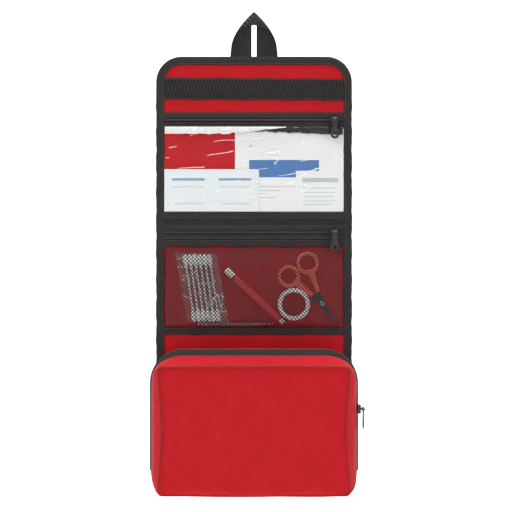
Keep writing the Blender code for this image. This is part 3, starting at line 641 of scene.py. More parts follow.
def hoop(half: float, top: float, foot: float, top_radius: float, foot_radius: float,
         waist: float = 0.0, corner: int = 12, side: int = 18) -> np.ndarray:
    """Closed rounded outline of (x, z) points, its upright sides bowed in by a half sine."""
    centres = [(half - top_radius, top - top_radius, top_radius, 0.0),
               (top_radius - half, top - top_radius, top_radius, 90.0),
               (foot_radius - half, foot + foot_radius, foot_radius, 180.0),
               (half - foot_radius, foot + foot_radius, foot_radius, 270.0)]
    parts = []
    for index, (cx, cz, radius, start) in enumerate(centres):
        angle = np.radians(np.linspace(start, start + 90.0, corner))
        arc = stacked(cx + radius * np.cos(angle), cz + radius * np.sin(angle))
        nx, nz, nr, ns = centres[(index + 1) % 4]
        goal = np.array((nx + nr * math.cos(math.radians(ns)),
                         nz + nr * math.sin(math.radians(ns))))
        share = np.linspace(0.0, 1.0, side + 2)[1:-1, None]
        straight = arc[-1] + (goal - arc[-1]) * share
        if index in (1, 3):
            straight[:, 0] -= np.sign(straight[:, 0]) * waist * np.sin(math.pi * share[:, 0])
        parts += [arc, straight]
    return np.concatenate(parts)


def standing(outline: np.ndarray, depth: float | np.ndarray) -> np.ndarray:
    """Outline of (x, z) points stood at a depth."""
    return stacked(outline[:, 0], depth, outline[:, 1])


@dataclass
class Fold:
    above: str
    below: str
    height: float
    reach: float = 2.6 * MM

    def cross(self, piece: bpy.types.Object) -> None:
        """Bakes a piece's transform into its mesh."""
        self.height + self.reach
        self.height - self.reach
        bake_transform(piece)


@dataclass
class Kit:
    """What the sub-assemblies share: folds, half width, the scissors' pivot and the binding."""

    loop: Fold
    flap: Fold
    middle: Fold
    pouch: Fold
    half: float
    pivot: tuple
    binding: float = 8.6 * MM

    @classmethod
    def measured(cls, joints: list) -> "Kit":
        """Reads the folds and the scissors' pivot from the joints, and the width from the flap."""
        spots = {joint["name"]: joint.get("pos_m", (0, 0, 0)) for joint in joints}
        heights = {name: spot[2] for name, spot in spots.items()}
        scissors = spots["scissor_pivot"]
        return cls(Fold("hanger", "flap", heights["loop_fold"]),
                   Fold("flap", "upper", heights["flap_fold"]),
                   Fold("upper", "lower", heights["middle_fold"]),
                   Fold("lower", "pouch", heights["pouch_fold"]),
                   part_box("flap_binding")[1][0], (scissors[0], scissors[2]))


# ---- hanging loop ---------------------------------------------------------------------
@dataclass
class HangingLoop:
    """Webbing strap folded to a point: two legs side by side under a folded hood."""

    kit: Kit
    width: float = 25.0 * MM
    slit: float = 2.5 * MM
    apex: float = 12.7 * MM
    drop: float = 44.2 * MM
    sewn: float = 6.0 * MM
    webbing: float = 1.2 * MM

    def top(self, x: np.ndarray) -> np.ndarray:
        """Height of the pointed outline: the apex less the drop times one minus the root
        of one minus the share of the width."""
        return self.apex - self.drop * (1.0 - np.sqrt(np.clip(1.0 - np.abs(x) / self.width, 0, 1)))

    def leg(self, side: int) -> bpy.types.Object:
        """One leg: a strip from the slit's edge out to the pointed outline."""
        foot = self.kit.loop.height - self.sewn
        share = np.linspace(0.0, 1.0, 15)[:, None]
        up = np.linspace(0.0, 1.0, 26)[None, :]
        reach = self.slit + (self.width - self.slit) * share ** 0.92
        head = np.minimum(self.top(reach), self.apex - 3.0 * MM)
        z = foot + (np.maximum(head, foot + 1.0 * MM) - foot) * up
        x = np.broadcast_to(reach, z.shape) * side
        crown = 0.35 * MM * np.sin(math.pi * share) * np.ones_like(up)
        front = stacked(x, -self.webbing - crown, z)
        back = stacked(x, self.webbing, z)
        return slab(f"loop_leg_{'left' if side < 0 else 'right'}", front.transpose(1, 0, 2),
                    back.transpose(1, 0, 2), Finish.WEBBING)

    def hood(self) -> bpy.types.Object:
        """Folded point over the legs; its hem is an arch that runs up to the slit."""
        x = np.linspace(-0.97, 0.97, 41)[:, None] * self.width
        up = np.linspace(0.0, 1.0, 17)[None, :]
        share = np.abs(x) / self.width
        hem = -1.5 * MM - 11.5 * MM * share ** 1.5
        head = self.top(x)
        hem = np.minimum(hem, head - 0.8 * MM)
        z = hem + (head - hem) * up
        swell = 1.2 * MM * np.sin(math.pi * np.clip(up, 0.08, 1.0)) * (1.0 - share ** 2)
        front = stacked(x, -self.webbing - 1.2 * MM - swell, z)
        back = front.copy()
        back[..., 1] = -self.webbing + 0.1 * MM
        return slab("loop_hood", front, back, Finish.HOOD, 60.0)

    def build(self) -> None:
        """Makes both legs, the hood and the bar tacks that hold the legs down."""
        for side in (-1, 1):
            leg = self.leg(side)
            self.kit.loop.cross(leg)
            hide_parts("hang_loop")
        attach(self.hood(), "hanger")
        for row, height in enumerate((self.kit.loop.height - 2.6 * MM,
                                      self.kit.loop.height - 4.4 * MM)):
            x = np.linspace(-self.width + 1.5 * MM, self.width - 1.5 * MM, 60)
            path = stacked(x, -2.05 * MM, height)
            tack = stitches(f"loop_tack_{row + 1}", path, Finish.THREAD)
            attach(tack, "flap")


# ---- panels and bindings --------------------------------------------------------------
@dataclass
class Backing:
    """The red fabric panels and the black binding folded round their edges."""

    kit: Kit
    cloth: float = 0.6 * MM
    skin: float = 1.9 * MM
    radius: float = 27.0 * MM
    overlap: float = 4.0 * MM

    def section(self) -> np.ndarray:
        """Binding in section: a flattened U whose fold is round and whose legs are thin."""
        bend = np.radians(np.linspace(-90.0, 90.0, 9))
        fold = stacked(0.9 * MM - 1.1 * MM * np.cos(bend), self.skin * np.sin(bend))
        wide = self.kit.binding
        front = [(wide, -self.skin + 0.75 * MM), (wide + 0.1 * MM, -self.skin + 0.3 * MM),
                 (wide - 0.4 * MM, -self.skin)]
        back = [(wide - 0.4 * MM, self.skin), (wide + 0.1 * MM, self.skin - 0.3 * MM),
                (wide, self.skin - 0.75 * MM)]
        return np.concatenate([front, fold, back, [(1.2 * MM, 0.75 * MM), (1.2 * MM, -0.75 * MM)]])

    def panel(self, name: str, top: float, foot: float, rounded: bool, seed: int) -> bpy.types.Object:
        """Fabric panel; rounded top corners follow a quarter circle. Its face ripples softly."""
        z = np.linspace(foot, top, 46)[None, :]
        share = np.linspace(-1.0, 1.0, 61)[:, None]
        half = self.kit.half - 1.4 * MM
        radius = self.radius - 1.4 * MM
        into = np.clip(z - (top - radius), 0.0, radius) if rounded else np.zeros_like(z)
        edge = half - radius + np.sqrt(radius ** 2 - into ** 2) if rounded else half + into
        x = share * edge
        grid_z = np.broadcast_to(z, x.shape)
        calm = (1.0 - np.abs(share) ** 6)
        wave = 0.35 * MM * ripple(x, grid_z, seed, 60 * MM) * calm
        front = stacked(x, -self.cloth + wave - 0.1 * MM, grid_z)
        back = stacked(x, self.cloth + wave, grid_z)
        piece = slab(name, front, back, Finish.RED)
        return piece

    def strip(self, name: str, side: int, top: float, foot: float) -> bpy.types.Object:
        """Straight binding down one edge, with the small waver of sewn tape."""
        z = np.linspace(foot, top, 50)
        waver = 0.22 * MM * np.sin(z * TAU / (31 * MM)) + 0.15 * MM * np.sin(z * TAU / (13 * MM))
        path = stacked(side * (self.kit.half + waver), z)
        inward = np.tile((-float(side), 0.0), (50, 1))
        return sleeve(name, along_path(path, inward, self.section()), Finish.BINDING)

    def seam(self, name: str, side: int, top: float, foot: float) -> bpy.types.Object:
        """Stitch line near a binding's inner edge."""
        z = np.linspace(foot, top, 40)
        x = np.full(40, side * (self.kit.half - self.kit.binding + 1.4 * MM))
        return stitches(name, stacked(x, -self.skin - 0.05 * MM, z),
                        Finish.THREAD)

    def build(self) -> None:
        """Makes the four panels, their bindings and the stitch lines."""
        kit = self.kit
        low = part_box("pouch_back")[0][2]
        levels = [("flap", kit.flap.height + self.overlap, None),
                  ("upper", kit.middle.height + self.overlap, kit.flap),
                  ("lower", kit.pouch.height + self.overlap, kit.middle),
                  ("pouch", low, kit.pouch)]
        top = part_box("flap_binding")[1][2] - 1.3 * MM
        for index, (body, foot, fold) in enumerate(levels):
            node = "pouch_back" if body == "pouch" else f"{body}_panel"
            panel = self.panel(f"{body}_fabric", top, foot, index == 0, 20 + index)
            self.settle(panel, body, fold)
            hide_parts(node)
            for side, word in ((-1, "left"), (1, "right")):
                if index == 0:
                    continue
                end = foot if body != "pouch" else kit.pouch.height - 60 * MM
                binding = self.strip(f"{body}_edge_{word}", side, top, end)
                self.settle(binding, body, fold)
                if body != "pouch":
                    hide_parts(f"{body}_binding_{word}")
                seam = self.seam(f"{body}_edge_seam_{word}", side, top, end)
                self.settle(seam, body, fold)
            top = foot
        self.arch_binding(kit.flap.height + self.overlap)

    def settle(self, piece: bpy.types.Object, body: str, fold: Fold | None) -> None:
        """Rides a piece on its body where no fold is above it; else bakes its transform into its mesh."""
        if fold is None:
            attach(piece, body)
        else:
            fold.cross(piece)

    def arch_binding(self, foot: float) -> None:
        """Binding round the flap's top corners and its stitch line."""
        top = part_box("flap_binding")[1][2]
        path, inward = arch(self.kit.half, top, foot, self.radius)
        binding = sleeve("flap_edge", along_path(path, inward, self.section()), Finish.BINDING)
        stand_in(binding, "flap", "flap_binding")
        line = path + inward * (self.kit.binding - 1.4 * MM)
        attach(stitches("flap_edge_seam", standing(line, -self.skin - 0.05 * MM),
                         Finish.THREAD), "flap")


@dataclass
class FlatBand:
    """A flat woven band sewn across a panel: hook strip, facing or zip tape."""

    node: str
    body: str
    finish: Finish
    seams: tuple = (0.12, 0.88)
    waver: float = 0.25 * MM
    tilt: float = 0.0
    tuck: float = 1.0 * MM

    def build(self) -> None:
        """Makes the band over its CAD node, with rounded long edges and stitch lines."""
        low, high = box_of(self.node)
        x = np.linspace(low[0] - self.tuck, high[0] + self.tuck, 110)[:, None]
        up = np.linspace(0.0, 1.0, 15)[None, :]
        drift = self.waver * np.sin(x * TAU / (47 * MM)) - self.tilt * x
        z = low[2] + (high[2] - low[2]) * up + drift
        round_ = (1.0 - np.abs(2.0 * up - 1.0) ** 8)
        face = low[1] + (high[1] - low[1]) * 0.7 * (1.0 - round_)
        x = np.broadcast_to(x, z.shape)
        front = stacked(x, face, z)
        back = stacked(x, high[1], z)
        band = slab(self.node + "_band", front, back, self.finish)
        stand_in(band, self.body, self.node)
        for index, share in enumerate(self.seams):
            row = low[2] + (high[2] - low[2]) * share + drift[:, 0]
            path = stacked(x[:, 0], low[1] - 0.05 * MM, row)
            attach(stitches(f"{self.node}_seam_{index + 1}", path, Finish.THREAD), self.body)


def facing(name: str, half: float, top: float, foot: float, proud: float,
           rows: int = 12) -> bpy.types.Object:
    """Flat black tape across the panel, so that no red shows between the bands on it."""
    x = np.linspace(-half, half, 60)[:, None]
    z = np.linspace(foot, top, rows)[None, :]
    flat = x + 0.0 * z
    front = stacked(flat, -proud - 0.35 * MM, z + 0.0 * x)
    return slab(name, front, front + AWAY * 0.35 * MM, Finish.BINDING)


@dataclass
class PanelZip:
    """Zip across a panel: two woven tapes, a ribbed coil, end stops, slider and pull."""

    prefix: str
    body: str

    def coil(self) -> bpy.types.Object:
        """Coil: a flattened round bar whose width swells once for every turn of the coil."""
        low, high = box_of(self.prefix + "_zip_coil")
        x = np.linspace(low[0], high[0], 1100)[:, None]
        angle = np.linspace(0.0, TAU, 9)[None, :-1]
        swell = 1.0 + 0.16 * np.sin(x * TAU / COIL_PITCH)
        middle = (low + high) / 2.0
        tall = (high[2] - low[2]) / 2.0 * 0.95
        deep = (high[1] - low[1]) / 2.0 * 0.8
        rings = stacked(x,
                        middle[1] + 0.2 * MM + deep * np.sin(angle) * swell,
                        middle[2] + tall * np.cos(angle) * swell)
        return sleeve(self.prefix + "_coil", rings, Finish.COIL, sharp=80.0)

    def build(self) -> None:
        """Makes the tapes, the coil and the black backing behind them."""
        for part in ("top", "bottom"):
            seams = (0.2,) if part == "bottom" else (0.72,)
            FlatBand(f"{self.prefix}_zip_tape_{part}", self.body, Finish.ZIP_TAPE, seams,
                     0.12 * MM).build()
        coil = self.coil()
        stand_in(coil, self.body, self.prefix + "_zip_coil")
        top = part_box(self.prefix + "_zip_tape_top")[1][2]
        below = "mesh_facing" if self.prefix == "lower" else "upper_zip_tape_bottom"
        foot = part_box(below)[0][2] + 0.4 * MM
        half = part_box(self.prefix + "_zip_coil")[1][0] + 1.0 * MM
        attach(facing(self.prefix + "_zip_backing", half, top, foot, 0.8 * MM), self.body)


# ---- pockets --------------------------------------------------------------------------
def fullness(node: str, x: np.ndarray, z: np.ndarray, skirt: float, edge: float,
             power_top: float, power: float) -> np.ndarray:
    """How full a pocket front stands at each point, from zero to one.

    It is one minus the share of the way to the side, to a power, times the same for the
    height, and it falls to zero over the sewn edge.
    """
    low, high = box_of(node)
    v = (z - (low[2] + high[2]) / 2) / ((high[2] - low[2]) / 2)
    down = np.where(v > 0, np.abs(v) ** power_top, np.abs(v) ** power)
    rim = np.minimum(np.minimum(x - low[0], high[0] - x), np.minimum(z - low[2], high[2] - z))
    full = (1.0 - np.abs(x / high[0]) ** power) * (1.0 - down)
    return np.clip(rim / skirt, 0.0, 1.0) * (edge + (1.0 - edge) * full)


@dataclass
class Packet:
    """Flat sealed packet: a puffed middle inside crimped seals, with plain printed bars."""

    node: str
    puff: float
    bars: tuple
    paper: tuple = (0.735, 0.745, 0.735)
    seal: float = 4.0 * MM
    grow: float = 0.0
    reach: tuple = (0.35 * MM, 0.35 * MM)

    def build(self) -> None:
        """Makes the packet; its seals are crimped by a fine sine wave."""
        low, high = box_of(self.node)
        centre, size = (low + high) / 2.0, high - low
        low -= np.array((self.reach[0], 0.0, 1.7 * MM))
        high += np.array((self.reach[1], 0.0, self.grow))
        x = np.linspace(low[0], high[0], 60)[:, None]
        z = np.linspace(low[2], high[2], 60)[None, :]
        rim = np.minimum(np.minimum(x - low[0], high[0] - x), np.minimum(z - low[2], high[2] - z))
        full = np.clip((rim - self.seal) / (9 * MM), 0.0, 1.0)
        full = full * full * (3.0 - 2.0 * full)
        crimp = (rim < self.seal) * 0.09 * MM * np.sin((x + z) * TAU / (1.4 * MM))
        soft = ripple(x + 0 * z, z + 0 * x, len(self.node), 22 * MM) * 0.25 * MM
        face = low[1] + 0.3 * MM - self.puff * full + crimp + soft * full
        front = stacked(x, face, z)
        back = stacked(x + 0 * z, high[1], z)
        piece = slab(self.node + "_packet", front, back, Finish.TAPE)
        bars = tuple((centre[0] + a * size[0] / 2, centre[0] + b * size[0] / 2,
                      centre[2] + c * size[2] / 2, centre[2] + d * size[2] / 2, colour)
                     for a, b, c, d, colour in self.bars)
        piece.data.materials[0] = Printed(self.node + "_print", self.paper, bars).build()
        stand_in(piece, "upper", self.node)


@dataclass
class ClearPocket:
    """Upper pocket: glossy clear vinyl over flat packets, under its zip."""

    depth: float = 7.0 * MM
    film: float = 0.3 * MM

    def window(self) -> bpy.types.Object:
        """Vinyl sheet: the pocket's fullness with long shallow wrinkles and a few creases."""
        low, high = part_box("clear_window")
        x, z = np.meshgrid(np.linspace(low[0], high[0], 150), np.linspace(low[2], high[2], 90),
                           indexing="ij")
        full = fullness("clear_window", x, z, 1.6 * MM, 0.3, 3.0, 6.0)
        calm = np.clip(full * 1.6, 0.0, 1.0)
        wave = 0.55 * MM * ripple(x * 0.45, z, 3, 24 * MM, 9) + 0.3 * MM * ripple(x, z, 8, 13 * MM, 9)
        y = -1.2 * MM - (self.depth - 2.6 * MM) * full + wave * calm
        front = stacked(x, y, z)
        window = slab("clear_window_vinyl", front, front + AWAY * self.film,
                      Finish.WINDOW, 80.0)
        return window

    def hem(self, name: str, start: float, end: float, heights: tuple, proud: float,
            finish: Finish) -> bpy.types.Object:
        """Crinkled turned hem under the zip: a narrow strip with sharp ripples.

        Args:
            name: The piece's name.
            start: Its left end, as a share of the pocket's half width.
            end: Its right end.
            heights: Its height at the left end, the middle and the right end.
            proud: How far it stands in front of the panel.
            finish: What it is made of.

        Returns:
            The strip.
        """
        low, high = box_of("clear_window")
        share = np.linspace(0.0, 1.0, 240)[:, None]
        x = high[0] * (start + (end - start) * share)
        up = np.linspace(0.0, 1.0, 14)[None, :]
        ragged = 0.5 * MM * np.sin(x * TAU / (17 * MM)) + 0.3 * MM * np.sin(x * TAU / (7 * MM))
        height = np.interp(share, (0.0, 0.5, 1.0), heights) + ragged * np.sin(math.pi * share)
        z = high[2] + 0.3 * MM - height * (1.0 - up)
        crinkle = 0.45 * MM * ripple(x + 0 * z, z, 5, 6 * MM, 11)
        y = -proud + crinkle - 0.6 * MM * np.sin(math.pi * up)
        front = stacked(x, y, z)
        return slab(name, front, front + AWAY * 0.25 * MM, finish, 80.0)

    def build(self) -> None:
        """Makes the window, its hem and the packets behind it."""
        window = self.window()
        stand_in(window, "upper", "clear_window")
        pale = self.hem("clear_window_hem", -0.995, 0.36, (7.4 * MM, 7.6 * MM, 0.9 * MM), 4.6 * MM,
                        Finish.WINDOW_HEM)
        dark = self.hem("dark_window_hem", -0.99, 0.99, (2.4 * MM, 4.6 * MM, 8.6 * MM), 3.4 * MM,
                        Finish.DARK_HEM)
        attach(pale, "upper")
        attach(dark, "upper")
        blue, pale, grey, green = ((0.062, 0.17, 0.40), (0.21, 0.31, 0.46), (0.46, 0.48, 0.50),
                                   (0.40, 0.50, 0.43))
        sachet = ((-0.72, 0.70, 0.43, 0.56, pale), (-0.68, 0.66, 0.11, 0.15, grey),
                  (-0.60, 0.62, -0.72, -0.68, grey))
        paper = (0.70, 0.735, 0.745)
        Packet("alcohol_sachet_left", 0.6 * MM, sachet, paper, reach=(1.4 * MM, 0.35 * MM)).build()
        Packet("alcohol_sachet_right", 0.6 * MM, sachet, paper).build()
        Packet("dressing_packet", 0.4 * MM, (
            (-0.56, 1.1, 0.01, 0.29, blue), (-0.24, 0.94, -0.16, 0.03, blue),
            (-0.24, 0.94, -0.41, -0.39, grey), (-0.24, 0.45, -0.51, -0.49, grey),
            (-0.24, 0.15, -0.60, -0.58, grey), (-0.24, 0.30, -0.69, -0.67, grey),
            (-0.56, -0.46, 0.62, 0.68, grey)), grow=3.5 * MM).build()
        Packet("relief_sachet", 0.5 * MM, (
            (-1.1, -0.05, 0.09, 0.39, blue), (-0.83, 0.83, -0.23, -0.11, green),
            (-0.80, 0.75, -0.40, -0.38, green), (-0.75, 0.70, -0.52, -0.50, grey),
            (-0.80, 0.60, -0.64, -0.62, green), (-0.70, 0.70, -0.76, -0.74, grey),
            (-0.80, 0.50, -0.86, -0.84, green)), grow=9.5 * MM, reach=(0.35 * MM, 1.8 * MM)).build()


@dataclass
class MeshPocket:
    """Lower pocket: black net over swabs, probe, tape roll, tweezers and scissors."""

    kit: Kit
    nodes: dict
    depth: float = 15.0 * MM
    pitch: float = 3.9 * MM
    ribbon: float = 0.72 * MM
    thread: float = 0.22 * MM
    swabs: int = 6
    bag_lean: float = 10.3
    head_swell: float = 1.3
    tape_core: float = 12.7 * MM
    blades_turn: float = 125.7
    grips_apart: float = 15.6
    grip_reach: float = 45.4 * MM

    def depth_at(self, x: np.ndarray, z: np.ndarray) -> np.ndarray:
        """Depth of the net: the pocket's fullness with slack ripples."""
        full = fullness("mesh_window", x, z, 1.4 * MM, 0.16, 4.0, 8.0)
        slack = 0.5 * MM * ripple(x, z, 11, 42 * MM) * np.clip(full * 1.4, 0.0, 1.0)
        return -1.1 * MM - (self.depth - 1.1 * MM) * full + slack

    def strands(self, lean: int) -> tuple[np.ndarray, float]:
        """One family of the net's slanting strands, each a flat ribbon clipped to the pocket.

        A strand is the line where x plus or minus z is a constant; the constants are a pitch
        apart. Its depth follows the pocket.

        Args:
            lean: One for strands that rise to the left, minus one for the others.

        Returns:
            Points (strand, along, corner, xyz) and the strands' length in all.
        """
        low, high = box_of("mesh_window")
        foot, head = low[2] + 0.3 * MM, high[2] - 0.3 * MM
        side = high[0] - 0.3 * MM
        ends = sorted((lean * foot, lean * head))
        sums = np.arange(-side + ends[0], side + ends[1], self.pitch) + self.pitch / 2
        first = np.maximum(-side, sums - ends[1])
        last = np.minimum(side, sums - ends[0])
        keep = last - first > 1.5 * MM
        sums, first, last = sums[keep], first[keep], last[keep]
        x = first[:, None] + (last - first)[:, None] * np.linspace(0.0, 1.0, 34)[None, :]
        z = lean * (sums[:, None] - x)
        y = self.depth_at(x, z)
        line = stacked(x, y, z)
        across = np.array((1.0, 0.0, lean)) / math.sqrt(2.0) * self.ribbon / 2
        thick = AWAY * self.thread / 2
        lift = AWAY * 0.12 * MM * lean
        corners = np.stack([across - thick, across + thick, -across + thick, -across - thick])
        points = (line + lift)[:, :, None, :] + corners[None, None]
        return points, float((last - first).sum() * math.sqrt(2.0))

    def net(self) -> None:
        """Net front: two families of ribbons that cross in diamonds, clear of the tools."""
        groups = [self.strands(lean) for lean in (1, -1)]
        points = np.concatenate([group for group, _ in groups])
        count, steps = points.shape[:2]
        index = np.arange(count * steps * 4).reshape(count, steps, 4)
        turned = np.roll(index, -1, axis=2)
        walls = np.stack([index[:, :-1], turned[:, :-1], turned[:, 1:], index[:, 1:]], -1)
        caps = np.concatenate([index[:, 0, ::-1], index[:, -1]])
        faces = np.concatenate([walls.reshape(-1, 4), caps]).tolist()
        net = mesh_piece("mesh_window_net", points, faces, None, Finish.NET, 60.0)
        area = sum(length for _, length in groups) * self.ribbon
        stand_in(net, "lower", "mesh_window")

    def bag(self) -> None:
        """Swab bag: a slack flat sleeve, wrinkled across, open at its top."""
        low, high = box_of("swab_bag")
        lean = math.tan(math.radians(self.bag_lean))
        up = np.linspace(0.0, 1.0, 60)[:, None]
        angle = np.linspace(0.0, TAU, 49)[None, :-1]
        width = (high[0] - low[0] - (high[2] - low[2]) * lean) / 2.0
        z = high[2] - (high[2] - low[2]) * (1.0 - up)
        centre = low[0] + width + (high[2] - z) * lean
        square = np.sign(np.cos(angle)) * np.abs(np.cos(angle)) ** 0.6
        deep = (high[1] - low[1]) / 2.0 * np.clip(6.0 * up, 0.12, 1.0)
        x = centre + width * square
        y = (low[1] + high[1]) / 2.0 + deep * np.sin(angle)
        y = np.minimum(y + 0.35 * MM * ripple(x + 0 * z, z + 0 * x, 17, 12 * MM, 9), high[1])
        rings = stacked(x, y, z)
        middle = np.array((0.0, (low[1] + high[1]) / 2.0, 0.0))
        inner = rings + (middle - rings) * np.array((0.0, 0.06, 0.0))
        index, wall = tube_faces(*rings.shape[:2])
        offset = index.size
        last, after = index[-1], np.roll(index[-1], -1)
        mouth = np.stack([last, after, after + offset, last + offset], -1)
        foot = [index[0, ::-1].tolist(), (index[0] + offset).tolist()]
        faces = wall.tolist() + (wall[:, ::-1] + offset).tolist() + mouth.tolist() + foot
        points = np.concatenate([rings.reshape(-1, 3), inner.reshape(-1, 3)])
        bag = mesh_piece("swab_bag_film", points, faces, None, Finish.BAG, 80.0)
        stand_in(bag, "lower", "swab_bag")

    def swab(self, number: int) -> None:
        """Cotton swab: a thin stick and two fluffy heads whose radius is a rounded swell."""
        low, high = box_of(f"swab_{number}")
        radius = (high[1] - low[1]) / 2.0 * self.head_swell
        middle = (low[1] + high[1]) / 2.0
        base = np.array((low[0] + radius, middle, high[2] - 0.4 * MM))
        end = np.array((high[0] - radius, middle, low[2] + 0.4 * MM))
        length = np.linalg.norm(end - base)
        reach = np.linspace(0.0, 15 * MM, 20)
        fluff = radius * np.sqrt(np.clip(1.0 - ((reach - 6 * MM) / (6.4 * MM)) ** 4, 0.0, 1.0))
        head = stacked(reach, np.maximum(fluff, 1.05 * MM * (reach > 1 * MM) + 0.3 * MM))
        tail = stacked(length - reach[::-1], head[::-1, 1])
        for part, profile in (("head", head), ("tail", tail)):
            rings = turned_rings(base, end - base, profile, 18)
            fuzz = ripple(rings[..., 0] * 3, rings[..., 2] * 3, number, 6 * MM)
            rings += 0.08 * MM * fuzz[..., None]
            piece = sleeve(f"swab_{number}_{part}", rings, Finish.COTTON, sharp=80.0)
            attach(piece, "lower")
        stick = stacked(np.linspace(10 * MM, length - 10 * MM, 12), 0.9 * MM)
        piece = sleeve(f"swab_{number}_stick", turned_rings(base, end - base, stick, 12),
                       Finish.PAPER_STICK)
        stand_in(piece, "lower", f"swab_{number}")

    def tape(self) -> None:
        """Tape roll: a ring whose faces show the wound layers as fine steps."""
        low, high = box_of("tape_roll")
        centre = (low + high) / 2.0
        outer = (high[0] - low[0]) / 2.0
        core = self.tape_core
        radii = np.linspace(outer - 0.25 * MM, core + 1.1 * MM, 17)
        step = 0.12 * MM * (np.arange(17) % 2)
        front = stacked(radii, low[1] + 0.1 * MM + step)
        back = stacked(radii[::-1], high[1] - step[::-1])
        section = np.concatenate([[(outer, high[1] - 0.3 * MM), (outer, low[1] + 0.35 * MM)], front,
                                  [(core + 0.9 * MM, low[1]), (core, low[1] + 0.2 * MM),
                                   (core, high[1] - 0.2 * MM)], back])
        angle = np.linspace(0.0, TAU, 97)[:-1]
        rings = stacked(centre[0] + np.cos(angle)[:, None] * section[None, :, 0],
                        section[None, :, 1],
                        centre[2] + np.sin(angle)[:, None] * section[None, :, 0])
        roll = sleeve("tape_roll_wound", rings, Finish.TAPE, closed=True, sharp=50.0)
        stand_in(roll, "lower", "tape_roll")

    def probe(self) -> None:
        """Probe: a ribbed red handle with a ridge, a white cap and a forked tip."""
        low, high = box_of("probe_handle")
        middle = (low[1] + high[1]) / 2.0
        tip = np.array((high[0] - 2.3 * MM, middle, low[2] + 2.3 * MM))
        end = np.array((low[0] + 2.6 * MM, middle, high[2] - 2.6 * MM))
        length = np.linalg.norm(end - tip)
        reach = np.linspace(0.0, length, 90)
        share = reach / length
        radius = 2.9 * MM + 1.1 * MM * np.sin(math.pi * np.clip(share * 0.72, 0, 1))
        radius -= 0.14 * MM * (np.sin(reach * TAU / (3.0 * MM)) > 0.7) * (share > 0.55)
        radius *= np.clip(np.minimum(share, 1 - share) * 30 + 0.75, 0.0, 1.0)
        rings = turned_rings(tip, end - tip, stacked(reach, radius), 28)
        handle = sleeve("probe_handle_body", rings, Finish.PROBE, sharp=60.0)
        stand_in(handle, "lower", "probe_handle")
        for node in ("probe_cap", "probe_fork"):
            keep(self.nodes[node], Finish.WHITE_PLASTIC)

    def grip(self, node: str, body: str, angle: float) -> None:
        """Finger grip: a round-sectioned ring that runs into a tapered shank."""
        pivot = self.kit.pivot
        low, high = box_of(node)
        middle, thick = (low[1] + high[1]) / 2.0, (high[1] - low[1]) / 2.0
        turn = math.radians(angle)
        out = np.array((math.cos(turn), 0.0, math.sin(turn)))
        centre = np.array((pivot[0], middle, pivot[1])) + out * self.grip_reach
        ring = np.linspace(0.0, TAU, 73)[:-1]
        section = np.linspace(0.0, TAU, 15)[:-1]
        wide = 1.85 * MM * (1.0 + 0.6 * np.exp(-((np.abs(ring - math.pi)) / 0.5) ** 2))
        spoke = stacked(np.cos(ring + turn), 0 * ring, np.sin(ring + turn))
        rings = (centre + spoke[:, None, :] * (10.1 * MM + wide[:, None] * np.cos(section)[None])[..., None]
                 + AWAY * (thick * np.sin(section))[None, :, None])
        hoop_piece = sleeve(node + "_ring", rings, Finish.GRIP, closed=True, sharp=70.0)
        stand_in(hoop_piece, body, node)
        reach = np.linspace(13.4 * MM, 36.2 * MM, 24)
        side = np.array((-out[2], 0.0, out[0]))
        share = np.linspace(0.0, 1.0, 24)
        half = (2.1 + 1.9 * share ** 1.6) * MM
        start = np.array((pivot[0], middle, pivot[1]))
        rings = (start + out * reach[:, None, None]
                 + side * (half[:, None] * np.cos(section)[None])[..., None]
                 + AWAY * (thick * 0.92 * np.sin(section))[None, :, None])
        shank = sleeve(node + "_shank", rings, Finish.GRIP, sharp=70.0)
        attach(shank, body)

    def build(self) -> None:
        """Makes the net and everything behind it."""
        self.net()
        self.bag()
        for number in range(1, self.swabs + 1):
            self.swab(number)
        self.tape()
        self.probe()
        self.grip("scissor_grip_moving", "scissor_half", self.blades_turn - self.grips_apart)
        self.grip("scissor_grip_fixed", "lower", self.blades_turn + self.grips_apart)
        for node in ("scissor_blade_fixed", "scissor_blade_moving"):
            keep(self.nodes[node], Finish.DARK_STEEL)
        for node in ("scissor_rivet", "tweezers"):
            keep(self.nodes[node], Finish.STEEL)


